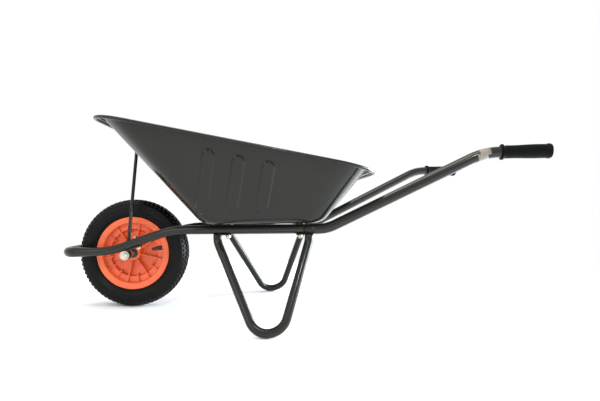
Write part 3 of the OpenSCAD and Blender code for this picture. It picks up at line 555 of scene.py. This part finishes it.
def makeLeg(side):
    s = legShape
    frontTop, rearTop = railAt(plan["foot"] - s["frontAhead"]), railAt(plan["foot"] + s["rearBehind"])
    frontKnee, rearKnee = frontTop - Vector((0, 0, s["upright"])), rearTop - Vector((0, 0, s["upright"]))
    corner = footCorner(frontKnee, rearKnee, (frontTop.y + rearTop.y) / 2,
                        (frontTop.z + rearTop.z) / 2 - s["upright"])
    lift = Vector((0, 0, plan["tube"] / 2 - 0.001))
    route = [onSide(p, side) for p in (frontTop - lift, frontKnee, corner, rearKnee, rearTop - lift)]
    leg = bentTube(side + "LegTube", route, [s["knee"], s["footBend"], s["knee"]], s["tube"], 40, s["wall"], 6)
    tabs = []
    yaw = math.atan2(railRun.y, railRun.x) * sides[side]
    for top, bolt in ((frontTop, s["frontBolt"]), (rearTop, s["rearBolt"])):
        middle = railAt(top.x + bolt * 0.62) - railUp * (plan["tube"] / 2 + s["tab"][0] / 2)
        size = (abs(bolt) + s["tab"][1] * 0.75, s["tab"][1], s["tab"][0])
        tabs.append(roundedStrip(side + "LegTab", onSide(middle, side), size, (0, -railPitch, yaw), 0.0008, 0.007))
    leg = join(side + "Leg", leg, *tabs)
    done(leg, "frame", "frame_enamel", side + "_leg")


for side in sides:
    makeLeg(side)
print("legs")

trayShape = {"sheet": 0.001, "floor": (0.310, 0.410), "edgeRadius": 0.030, "floorCorner": 0.030,
             "floorAhead": 0.026, "seat": 0.017, "rimLength": 0.724, "rimWidths": (0.624, 0.580),
             "rimCorner": 0.095, "rimAhead": 0.077, "rimRise": 0.213, "tilt": 8.8,
             "flange": 0.017, "edge": 0.009, "lipRadius": 0.004,
             "cornerSegments": 14, "wallCuts": 40, "sideCuts": 100, "endCuts": 24}
ribShape = {"middles": (-0.058, 0.021, 0.100), "half": 0.0190, "flank": 0.0060, "below": 0.031, "aboveFloor": 0.048,
            "depth": 0.0040}
floorX = plan["foot"] - trayShape["floorAhead"]
floorMiddle = Vector((floorX, 0, railAt(floorX).z + trayShape["seat"] / math.cos(railPitch)))
rimMiddle = Vector((floorX - trayShape["rimAhead"], 0, floorMiddle.z + trayShape["rimRise"]))
tilt = math.radians(trayShape["tilt"])
floorPlace = Matrix.Translation(floorMiddle) @ Matrix.Rotation(-railPitch, 4, "Y")
rimPlace = Matrix.Translation(rimMiddle) @ Matrix.Rotation(tilt, 4, "Y")
toFloor, toRim = floorPlace.inverted(), rimPlace.inverted()


def wallFoot(run, rise):
    # how far past the flat floor the wall would meet it, without the rounding
    radius = trayShape["edgeRadius"]
    lean = math.atan2(rise - radius, run) + math.asin(radius / math.hypot(run, rise - radius))
    return radius * math.tan(lean / 2)


def outlineLoop(name, place, ahead, behind, frontHalf, rearHalf, corner):
    # four-cornered plate with round corners, left as an open loop of edges
    t = trayShape
    bpy.ops.mesh.primitive_plane_add(size=2)
    loop = placed(name)
    for signX, signY, target in ((-1, -1, (-ahead, -frontHalf)), (-1, 1, (-ahead, frontHalf)),
                                 (1, -1, (behind, -rearHalf)), (1, 1, (behind, rearHalf))):
        edit(loop)
        pick(loop, "VERT", lambda c: c.xy.to_tuple(3) == (signX, signY))
        bpy.ops.transform.translate(value=(target[0] - signX, target[1] - signY, 0))
    bpy.ops.mesh.select_all(action="SELECT")
    bpy.ops.mesh.bevel(offset=corner, segments=t["cornerSegments"], affect="VERTICES")
    bpy.ops.mesh.select_mode(type="FACE")
    bpy.ops.mesh.select_all(action="SELECT")
    bpy.ops.mesh.delete(type="ONLY_FACE")
    bpy.ops.mesh.select_mode(type="EDGE")
    for cuts, alongX in ((t["sideCuts"], True), (t["endCuts"], False)):
        pick(loop, "EDGE", lambda a, b: (a - b).length > 0.1 and (abs(a.x - b.x) > abs(a.y - b.y)) == alongX)
        bpy.ops.mesh.subdivide(number_cuts=cuts)
    leave()
    loop.matrix_world = place
    only(loop)
    bpy.ops.object.transform_apply(location=True, rotation=True, scale=True)
    return loop


def makeTray():
    t = trayShape
    lower = rimPlace @ Matrix.Translation((0, 0, -t["sheet"]))
    frontHalf, rearHalf = (w / 2 for w in t["rimWidths"])
    half = t["rimLength"] / 2
    f = t["flange"]
    rim = outlineLoop("trayRim", lower, half, half, frontHalf, rearHalf, t["rimCorner"])
    lip = outlineLoop("trayLip", lower, half + f, half + f, frontHalf + f, rearHalf + f, t["rimCorner"] + f)
    # where the four walls would meet the floor
    frontTop = toFloor @ (lower @ Vector((-half, 0, 0)))
    rearTop = toFloor @ (lower @ Vector((half, 0, 0)))
    floorLength, floorWidth = t["floor"]
    ahead = floorLength / 2 + wallFoot(-frontTop.x - floorLength / 2, frontTop.z)
    behind = floorLength / 2 + wallFoot(rearTop.x - floorLength / 2, rearTop.z)
    sideFeet = [floorWidth / 2 + wallFoot(h - floorWidth / 2, top.z)
                for h, top in ((frontHalf, frontTop), (rearHalf, rearTop))]
    foot = outlineLoop("trayFoot", floorPlace, ahead, behind, sideFeet[0], sideFeet[1], t["floorCorner"] + 0.018)
    rim.vertex_groups.new(name="rimLoop").add(range(len(rim.data.vertices)), 1, "REPLACE")

    def onFloor(a, b):
        return abs((toFloor @ a).z) < 0.00001 and abs((toFloor @ b).z) < 0.00001

    def rimLevel(p):
        return abs((toRim @ p).z + t["sheet"]) < 0.00001
    tray = join("tray", rim, foot)
    edit(tray, "EDGE")
    bpy.ops.mesh.select_all(action="SELECT")
    bpy.ops.mesh.bridge_edge_loops()
    tray = join("tray", tray, lip)
    edit(tray, "EDGE")
    pick(tray, "EDGE", lambda a, b: rimLevel(a) and rimLevel(b))
    bpy.ops.mesh.bridge_edge_loops()
    pick(tray, "EDGE", onFloor)
    bpy.ops.mesh.edge_face_add()
    bpy.ops.mesh.select_all(action="SELECT")
    bpy.ops.mesh.normals_make_consistent(inside=True)
    bpy.ops.mesh.select_mode(type="VERT")
    bpy.ops.mesh.select_all(action="DESELECT")
    bpy.ops.object.vertex_group_set_active(group="rimLoop")
    bpy.ops.object.vertex_group_select()
    bpy.ops.mesh.select_mode(type="EDGE")
    bpy.ops.mesh.bevel(offset=t["lipRadius"], segments=4, affect="EDGES")
    pick(tray, "EDGE", onFloor)
    bpy.ops.mesh.bevel(offset=sum(sideFeet) / 2 - floorWidth / 2, segments=9, affect="EDGES")
    pick(tray, "EDGE", lambda a, b: (a - b).length > 0.06 and abs((a - b).z) > 0.05)
    bpy.ops.mesh.subdivide(number_cuts=t["wallCuts"])
    leave()
    return tray


def ribWeight(place):
    # 1 on a pressed rib of a long wall, falling to 0 over its flank
    p, q = toRim @ place, toFloor @ place
    if abs(p.y) < 0.19 or p.z > -ribShape["below"] * 0.5 or q.z < ribShape["aboveFloor"] * 0.4:
        return 0.0
    half, flank = ribShape["half"], ribShape["flank"]
    best = 0.0
    for middle in ribShape["middles"]:
        topEnd = -ribShape["below"] - half
        lowEnd = ribShape["aboveFloor"] - q.z
        past = max(0.0, p.z - topEnd, lowEnd)
        distance = math.hypot(p.x - middle, past)
        t = min(1.0, max(0.0, (half - distance) / flank))
        best = max(best, t * t * (3 - 2 * t))
    return best


def nearRib(place, spare=0.007):
    p, q = toRim @ place, toFloor @ place
    reach = ribShape["half"] + spare
    return (abs(p.y) > 0.19 and q.z > ribShape["aboveFloor"] - reach and p.z < -ribShape["below"] + spare
            and any(abs(p.x - middle) < reach for middle in ribShape["middles"]))


tray = makeTray()
edit(tray, "FACE")  # finer mesh where the ribs are pressed
pick(tray, "FACE", lambda c, n: nearRib(c))
bpy.ops.mesh.subdivide(number_cuts=2)
leave()
pressed = tray.vertex_groups.new(name="pressed")
for v in tray.data.vertices:
    weight = ribWeight(v.co)
    if weight > 0:
        pressed.add([v.index], weight, "REPLACE")
modify(tray, "DISPLACE", strength=ribShape["depth"], mid_level=0.0, vertex_group="pressed")
tidyMesh(tray, 60, outside=False)
modify(tray, "SOLIDIFY", thickness=trayShape["sheet"], offset=-1)
tray.vertex_groups.clear()
done(tray, "frame", "tray_enamel", "tray")

rolled = outlineLoop("rolledEdge", rimPlace @ Matrix.Translation((0, 0, -trayShape["edge"] / 2)),
                     *(trayShape["rimLength"] / 2 + trayShape["flange"] + trayShape["edge"] / 2,) * 2,
                     *(w / 2 + trayShape["flange"] + trayShape["edge"] / 2 for w in trayShape["rimWidths"]),
                     trayShape["rimCorner"] + trayShape["flange"] + trayShape["edge"] / 2)
only(rolled)
bpy.ops.object.convert(target="CURVE")
rolled = bpy.context.active_object
rolled.data.bevel_depth = trayShape["edge"] / 2
rolled.data.bevel_resolution = 5
bpy.ops.object.convert(target="MESH")
rolled = bpy.context.active_object
tidyMesh(rolled, 50)
done(rolled, "frame", "tray_enamel", "rolled_rim_edge")
print("tray pressed, edge rolled")

along = Vector((0, 1, 0))
wheelShape = {"seat": 0.1015, "flange": 0.116, "flangeThick": 0.005, "rimHalf": 0.030, "barrel": 0.0985,
              "step": 0.076, "stepDepth": 0.014, "web": 0.0025, "hub": 0.0225, "hubHalf": 0.027,
              "bore": 0.011, "ribs": 8, "rib": 0.003, "ribInset": 0.008, "firstRib": 35.0}
valveShape = {"turn": 12.5, "aside": -0.010, "stem": 0.0045, "from": 0.1035, "to": 0.0625, "cap": 0.0565}
valveGo = Vector((math.cos(math.radians(valveShape["turn"])), 0, math.sin(math.radians(valveShape["turn"]))))
valveLine = axle + along * valveShape["aside"]


def makeRim():
    w = wheelShape
    outerHalf = [(w["bore"], w["hubHalf"]), (w["hub"] - 0.0012, w["hubHalf"]), (w["hub"], w["hubHalf"] - 0.0012),
                 (w["hub"] + 0.0008, w["web"] + 0.004), (w["hub"] + 0.004, w["web"]), (w["step"] - 0.003, w["web"]),
                 (w["step"] - 0.0005, w["web"] + 0.002), (w["step"] + 0.0008, w["stepDepth"] - 0.001),
                 (w["step"] + 0.002, w["stepDepth"]), (w["barrel"] - 0.0055, w["stepDepth"]),
                 (w["barrel"] - 0.0040, w["stepDepth"] + 0.0015), (w["barrel"] - 0.0018, w["rimHalf"] - 0.001),
                 (w["barrel"] - 0.0008, w["rimHalf"]), (w["flange"] - 0.0015, w["rimHalf"]),
                 (w["flange"], w["rimHalf"] - 0.0015), (w["flange"], w["rimHalf"] - w["flangeThick"] + 0.001),
                 (w["flange"] - 0.001, w["rimHalf"] - w["flangeThick"]), (w["seat"], w["rimHalf"] - w["flangeThick"])]
    outline = outerHalf + [(r, -z) for r, z in reversed(outerHalf)] + [outerHalf[0]]
    body = turned("rimBody", outline, axle, along, 128, 30)
    ribs = []
    for number, (inner, turn) in enumerate(((w["hub"] - 0.001, 0.0), (w["step"] - 0.008, 0.5))):
        outer = w["barrel"] + 0.001
        direction = math.radians(w["firstRib"]) + turn * math.tau / w["ribs"]
        middle = axle + Vector((math.cos(direction), 0, math.sin(direction))) * (inner + outer) / 2
        bpy.ops.mesh.primitive_cube_add(size=1, location=middle, rotation=(0, -direction, 0))
        rib = bpy.context.active_object
        rib.scale = (outer - inner, 2 * (w["rimHalf"] - w["ribInset"]), w["rib"])
        rib = placed("rimRib")
        modify(rib, "BEVEL", width=0.0007, segments=2, limit_method="ANGLE", angle_limit=math.radians(40))
        copiesRound(rib, axle, along, w["ribs"])
        edit(rib, "FACE")  # no short rib where the valve is
        pick(rib, "FACE", lambda c, n: number == 1 and (c - axle - along * c.y).normalized().dot(valveGo) > 0.98)
        if number == 1:
            bpy.ops.mesh.delete(type="FACE")
        leave()
        ribs.append(tidyMesh(rib, 30))
    # pocket for the valve, cut through the step of the rim
    bpy.ops.mesh.primitive_cylinder_add(vertices=32, radius=valveShape["stem"] + 0.004, depth=0.050,
                                        location=valveLine + valveGo * 0.0695, rotation=turnOf(valveGo))
    pocket = placed("valvePocket")
    modify(body, "BOOLEAN", operation="DIFFERENCE", object=pocket, solver="EXACT")
    bpy.data.objects.remove(pocket)
    tidyMesh(body, 30)
    return join("wheelRim", body, *ribs)


wheelRim = makeRim()
done(wheelRim, "wheel", "rim_plastic", "wheel_rim")

v = valveShape
stem = turned("valveStem", [(0.0002, -v["from"]), (v["stem"] + 0.002, -v["from"]), (v["stem"] + 0.002, -0.0935),
                            (v["stem"], -0.092), (v["stem"], -0.0785), (v["stem"] - 0.0008, -0.0775),
                            (v["stem"] - 0.0008, -0.074), (v["stem"], -0.073), (v["stem"], -v["to"]),
                            (0.0002, -v["to"])], valveLine, -valveGo, 32, 30)
done(stem, "wheel", "black_rubber", "valve_stem")
cap = turned("valveCap", [(0.0002, -v["to"]), (0.0038, -v["to"]), (0.0040, -v["to"] + 0.0006),
                          (0.0040, -v["cap"] - 0.001), (0.0032, -v["cap"]), (0.0002, -v["cap"])],
             valveLine, -valveGo, 24, 30)
done(cap, "wheel", "black_rubber", "valve_cap")
print("wheel rim and valve")

tyreShape = {"treads": 72, "block": 0.0065, "share": 0.66}


def tyreOutline():
    # bead, sidewall with its ridge, shoulder and crown on one side, mirrored to the other
    side = [(0.1015, 0.0155), (0.1020, 0.0249), (0.1163, 0.0249), (0.1172, 0.0285), (0.1200, 0.0305),
            (0.1240, 0.0335), (0.1285, 0.0362), (0.1318, 0.0372), (0.1330, 0.0385), (0.1350, 0.0386),
            (0.1362, 0.0375), (0.1400, 0.0383), (0.1450, 0.0386), (0.1500, 0.0380), (0.1542, 0.0366),
            (0.1560, 0.0372), (0.1578, 0.0366), (0.1605, 0.0340), (0.1632, 0.0302), (0.1654, 0.0255),
            (0.1670, 0.0195), (0.1679, 0.0130), (0.1684, 0.0060), (0.1685, 0.0)]
    inner = [(0.1560, 0.0), (0.1545, 0.018), (0.1490, 0.028), (0.1400, 0.0325), (0.1300, 0.0310), (0.1180, 0.0220),
             (0.1080, 0.0165)]
    outer = side + [(r, -z) for r, z in reversed(side[:-1])]
    hollow = [(r, -z) for r, z in reversed(inner)] + inner[1:]
    return outer + hollow + [side[0]]


tyre = turned("tyreCase", tyreOutline(), axle, along, 144, 50)
# one pitch of the tread: five blocks, bevelled and sunk into the crown, then copied round
pitch = math.tau / tyreShape["treads"]
blocks = []
for aside, lean, crown, width, shift in (
        (0.0, 0, 0.1700, 0.0095, 0.0), (0.0125, 5, 0.1694, 0.0105, 0.5), (-0.0125, -5, 0.1694, 0.0105, 0.5),
        (0.0262, 24, 0.1652, 0.0120, 0.0), (-0.0262, -24, 0.1652, 0.0120, 0.0)):
    turn = pitch * shift
    spot = axle + Vector((math.sin(turn) * crown, aside, math.cos(turn) * crown))
    bpy.ops.mesh.primitive_cube_add(size=1, location=(0, 0, 0))
    block = bpy.context.active_object
    block.scale = (crown * pitch * tyreShape["share"], width, tyreShape["block"])
    block = placed("treadBlock")
    edit(block, "FACE")
    pick(block, "FACE", lambda c, n: n.z > 0.9)
    bpy.ops.transform.resize(value=(0.86, 0.88, 1))
    leave()
    modify(block, "BEVEL", width=0.0007, segments=1, limit_method="ANGLE", angle_limit=math.radians(40))
    block.matrix_world = Matrix.Translation(spot) @ Matrix.Rotation(turn, 4, "Y") @ Matrix.Rotation(
        -math.radians(lean), 4, "X") @ Matrix.Translation((0, 0, -0.0013 if abs(aside) < 0.02 else -0.0008))
    only(block)
    bpy.ops.object.transform_apply(location=True, rotation=True, scale=True)
    blocks.append(block)
tread = join("tyreTread", *blocks)
copiesRound(tread, axle, along, tyreShape["treads"])
only(tread)
bpy.ops.object.shade_smooth_by_angle(angle=math.radians(30))
tyre = join("tyre", tyre, tread)
done(tyre, "wheel", "tyre_rubber", "tyre")
print("tyre with its tread")

boltShape = {"trayBolts": (-0.1515, 0.0535), "seat": 0.017}
for name, x in (("front", boltShape["trayBolts"][0]), ("rear", boltShape["trayBolts"][1])):
    half = railAt(x).y + 0.010
    middle = Vector((railAt(x).x, 0, railAt(x).z)) + railUp * (plan["tube"] / 2 + 0.002)
    strap = roundedStrip(name + "CrossStrap", middle, (0.024, 2 * half, 0.0038), (0, -railPitch, 0), 0.0008, 0.008)
    done(strap, "frame", "frame_enamel", name + "_cross_strap")

cushionOutline = [(0.0042, 0), (0.0108, 0), (0.011, 0.0004), (0.0106, 0.0015), (0.0042, 0.0015), (0.0042, 0)]
headOutline = [(0.0002, 0.0015), (0.0083, 0.0015), (0.0085, 0.0023), (0.0074, 0.0038), (0.0052, 0.0050),
               (0.0030, 0.0055), (0.0002, 0.0056)]
heads, nuts, cushions = [], [], []
for side in sides:
    for x in boltShape["trayBolts"]:
        spot = onSide(railAt(x), side)
        over = spot + railUp * (boltShape["seat"] + trayShape["sheet"])
        under = spot - railUp * (plan["tube"] / 2 + legShape["tab"][0])
        cushions.append(turned("cushion", cushionOutline, over, railUp, 32))
        heads.append(turned("head", headOutline, over, railUp, 32, 50))
        heads.append(threaded("shank", 0.008, under, -railUp, 0.0105))
        nuts.append(hexHead("nut", 0.013, 0.0068, under, -railUp))
done(join("trayBoltHeads", *heads), "frame", "zinc", "tray_bolts")
done(join("trayNuts", *nuts), "frame", "zinc", "tray_nuts")
done(join("trayBoltCushions", *cushions), "frame", "black_rubber", "tray_bolt_washers")

# axle stack, outwards from the brackets
low, start = Vector(plan["low"]), Vector(plan["railStart"])
slopeAt = low + (start - low) * (axle.x - low.x) / (start.x - low.x)
slopeRun = start - low
slopePitch, slopeYaw = math.atan2(slopeRun.z, slopeRun.x), math.atan2(slopeRun.y, slopeRun.x)
axleShape = {"ear": 0.011, "thick": 0.004, "washer": 0.01425, "washerThick": 0.0025, "hole": 0.0062,
             "flats": 0.017, "head": 0.0065, "nut": 0.0095, "end": 0.0139}
a = axleShape
washerOutline = [(a["hole"], 0), (a["washer"] - 0.0004, 0), (a["washer"], 0.0004), (a["washer"], 0.0021),
                 (a["washer"] - 0.0006, a["washerThick"]), (0.0068, a["washerThick"]), (a["hole"], 0.0020),
                 (a["hole"], 0)]
earOutline = [(a["hole"], -a["thick"]), (a["ear"] - 0.0005, -a["thick"]), (a["ear"], -a["thick"] + 0.0005),
              (a["ear"], -0.0005), (a["ear"] - 0.0005, 0), (a["hole"], 0), (a["hole"], -a["thick"])]
earOut = slopeAt.y + axleShape["thick"] / 2
washers = []
for side, sign in sides.items():
    out = along * sign
    face = axle + out * earOut
    washers.append(turned("washer", washerOutline, face, out, 48))
    # ear under the tube, and the strip that is bolted to the slope
    ear = turned("ear", earOutline, face, out, 40)
    neck = roundedStrip("neck", axle + out * slopeAt.y + Vector((0, 0, 0.0085)), (0.0218, 0.0038, 0.017),
                        (0, 0, 0), 0.0006)
    slope = (Matrix.Translation(onSide(slopeAt, side)) @ Matrix.Rotation(sign * slopeYaw, 4, "Z")
             @ Matrix.Rotation(-slopePitch, 4, "Y"))
    strip = roundedStrip("strip", slope @ Vector((0.026, 0, -0.0145)), (0.054, 0.018, 0.004),
                         (0, -slopePitch, sign * slopeYaw), 0.0008, 0.008)
    bracket = join(side + "AxleBracket", ear, neck, strip)
    done(bracket, "frame", "frame_enamel", side + "_axle_bracket")
    slopeUp = slope.to_3x3() @ Vector((0, 0, 1))
    bolt = slope @ Vector((0.042, 0, 0))
    crown = hexHead(side + "BracketBolt", 0.010, 0.004, bolt + slopeUp * 0.0128, slopeUp)
    tail = threaded("tail", 0.006, bolt - slopeUp * 0.0168, -slopeUp, 0.0078, 0.001)
    nut = hexHead("nut", 0.010, 0.005, bolt - slopeUp * 0.0168, -slopeUp)
    done(join(side + "BracketBolt", crown, tail), "frame", "zinc")
    done(join(side + "BracketNut", nut), "frame", "zinc")
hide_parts("bracket_bolts")
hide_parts("bracket_nuts")
done(join("axleWashers", *washers), "frame", "zinc", "axle_washers")
washerFace = earOut + a["washerThick"]
leftHead = hexHead("axleBoltHead", a["flats"], a["head"], axle - along * washerFace, -along)
shaft = turned("axleShaft", [(0.0002, -washerFace), (0.006, -washerFace), (0.006, earOut), (0.0002, earOut)],
               axle, along, 32)
axleEnd = threaded("axleEnd", 0.012, axle + along * washerFace, along, a["end"], 0.00175)
done(join("axleBolt", leftHead, shaft, axleEnd), "frame", "zinc", "axle_bolt")
done(hexHead("axleNut", a["flats"], a["nut"], axle + along * washerFace, along), "frame", "zinc", "axle_nut")
print("axle and fasteners")

# front stay on the left: rod flattened at both ends
stayShape = {"aside": -0.075, "rod": 0.005}
stayFoot = Vector((axle.x, stayShape["aside"], axle.z))
frontEdge = rimPlace @ Vector((-trayShape["rimLength"] / 2, 0, -trayShape["sheet"]))
wallEnd = floorPlace @ Vector((-trayShape["floor"][0] / 2, 0, trayShape["edgeRadius"]))
wallLine = Vector((wallEnd.x - frontEdge.x, 0, wallEnd.z - frontEdge.z))
dip = math.atan2(wallLine.z, wallLine.x) - math.asin(trayShape["edgeRadius"] / wallLine.length)
down = Vector((math.cos(dip), 0, math.sin(dip)))
outward = Vector((math.sin(dip), 0, -math.cos(dip)))
stayBolt = Vector((frontEdge.x, stayShape["aside"], frontEdge.z)) + down * 0.036
stayTop = stayBolt + down * 0.017 + outward * 0.003
go = (stayTop - stayFoot).normalized()
length = (stayTop - stayFoot).length
bpy.ops.mesh.primitive_circle_add(vertices=24, radius=stayShape["rod"], location=stayFoot + go * 0.010,
                                  rotation=turnOf(go))
rod = placed("stayRod")
edit(rod)
bpy.ops.mesh.select_all(action="SELECT")
flat = (1.45, 0.42, 1.0)
bpy.ops.transform.resize(value=flat, center_override=stayFoot)
bpy.ops.mesh.extrude_region_move(TRANSFORM_OT_translate={"value": go * 0.028})
for i in range(6):
    bpy.ops.mesh.extrude_region_move(TRANSFORM_OT_translate={"value": go * 0.003})
    bpy.ops.transform.resize(value=(flat[0] ** (-1 / 6), flat[1] ** (-1 / 6), 1),
                             center_override=stayFoot + go * (0.038 + 0.003 * (i + 1)))
bpy.ops.mesh.extrude_region_move(TRANSFORM_OT_translate={"value": go * (length - 0.056)})
leave()
tidyMesh(rod, 40)
eyeRing = turned("stayEye", [(0.0062, -0.002), (0.0125, -0.002), (0.013, -0.0015), (0.013, 0.0015), (0.0125, 0.002),
                             (0.0062, 0.002), (0.0062, -0.002)], stayFoot, along, 40)
tab = roundedStrip("stayTab", stayBolt + outward * 0.0024 + down * 0.0034, (0.040, 0.019, 0.0038),
                   (0, -dip, 0), 0.0007, 0.009)
done(join("frontStay", rod, eyeRing, tab), "frame", "frame_enamel", "front_stay")
stayNut = hexHead("stayNut", 0.010, 0.0048, stayBolt + outward * 0.0043, outward)
done(stayNut, "frame", "zinc", "stay_nut")
stayHead = turned("stayHead", [(0.0002, 0.001), (0.0068, 0.001), (0.0070, 0.0016), (0.0056, 0.0034), (0.0030, 0.0046),
                               (0.0002, 0.0049)], stayBolt, -outward, 32, 50)
stayTail = threaded("stayTail", 0.006, stayBolt + outward * 0.0043, outward, 0.0078, 0.001)
done(join("stayBolt", stayHead, stayTail), "frame", "zinc", "stay_bolt")

# rivets through the sleeves
rivetOutline = [(0.0054, 0.0132), (0.0054, 0.0146), (0.0046, 0.0158), (0.0028, 0.0166), (0.0002, 0.0169)]
rivets = []
rivetAt = railAt((plan["sleeveFront"] + plan["frameEnd"]) / 2)
for side, sign in sides.items():
    square = (Matrix.Rotation(sign * math.atan2(railRun.y, railRun.x), 3, "Z") @ Vector((0, 1, 0)))
    for face in (-1, 1):
        rivets.append(turned("rivet", rivetOutline, onSide(rivetAt, side), square * face, 28, 50))
done(join("handleRivets", *rivets), "frame", "frame_enamel", "handle_rivets")

for name in ("axle_spacer", "outer_spacer", "hub_bush"):
    for side in sides:
        if f"{side}_{name}" in nodes:
            nodes[f"{side}_{name}"].data.materials.clear()
            nodes[f"{side}_{name}"].data.materials.append(finishes["bush_nylon" if "bush" in name else "zinc"])
nodes["inner_tube"].data.materials.clear()
nodes["inner_tube"].data.materials.append(finishes["black_rubber"])
print("stay, rivets and inner parts")

bpy.ops.mesh.primitive_plane_add(size=1, location=(0, -0.9, -0.0005))
bpy.context.active_object.scale = (7, 4.2, 1)
floor = placed("floor")
floorPaint = finish("paleFloor", (0.93, 0.93, 0.935), (0.7, 0.8), 3, tint=0.01)
floor.data.materials.append(floorPaint)

world = bpy.data.worlds.new("softRoom")
bpy.context.scene.world = world
world.use_nodes = True
room = world.node_tree.nodes["Background"]
room.inputs["Color"].default_value = (1.0, 1.0, 1.0, 1)
room.inputs["Strength"].default_value = 1.0

lamps = {
    "topSoftbox": {"place": (-0.3, -0.3, 2.4), "aim": (0, 0, 0.3), "size": (2.0, 1.2),
                   "power": 50, "colour": (1, 0.98, 0.95)},
    "rightPanel": {"place": (2.4, 0.7, 0.75), "aim": (0.2, -0.1, 0.3), "size": (2.6, 1.5),
                   "power": 260, "colour": (0.80, 0.90, 1)},
    "frontSpot": {"place": (0.3, -2.8, 2.3), "aim": (-0.1, 0, 0.4), "size": (0.2, 0.2),
                  "power": 24, "colour": (1, 0.98, 0.95)},
    "leftFill": {"place": (-1.8, -1.8, 1.2), "aim": (-0.2, 0, 0.25), "size": (1.2, 1.2),
                 "power": 12, "colour": (1, 0.97, 0.93)},
}
for name, lamp in lamps.items():
    bpy.ops.object.light_add(type="AREA", location=lamp["place"])
    light = bpy.context.active_object
    light.name = name
    light.rotation_euler = (Vector(lamp["place"]) - Vector(lamp["aim"])).to_track_quat("Z", "Y").to_euler()
    light.data.shape = "RECTANGLE"
    light.data.size, light.data.size_y = lamp["size"]
    light.data.energy = lamp["power"]
    light.data.color = lamp["colour"]
print("floor and light")
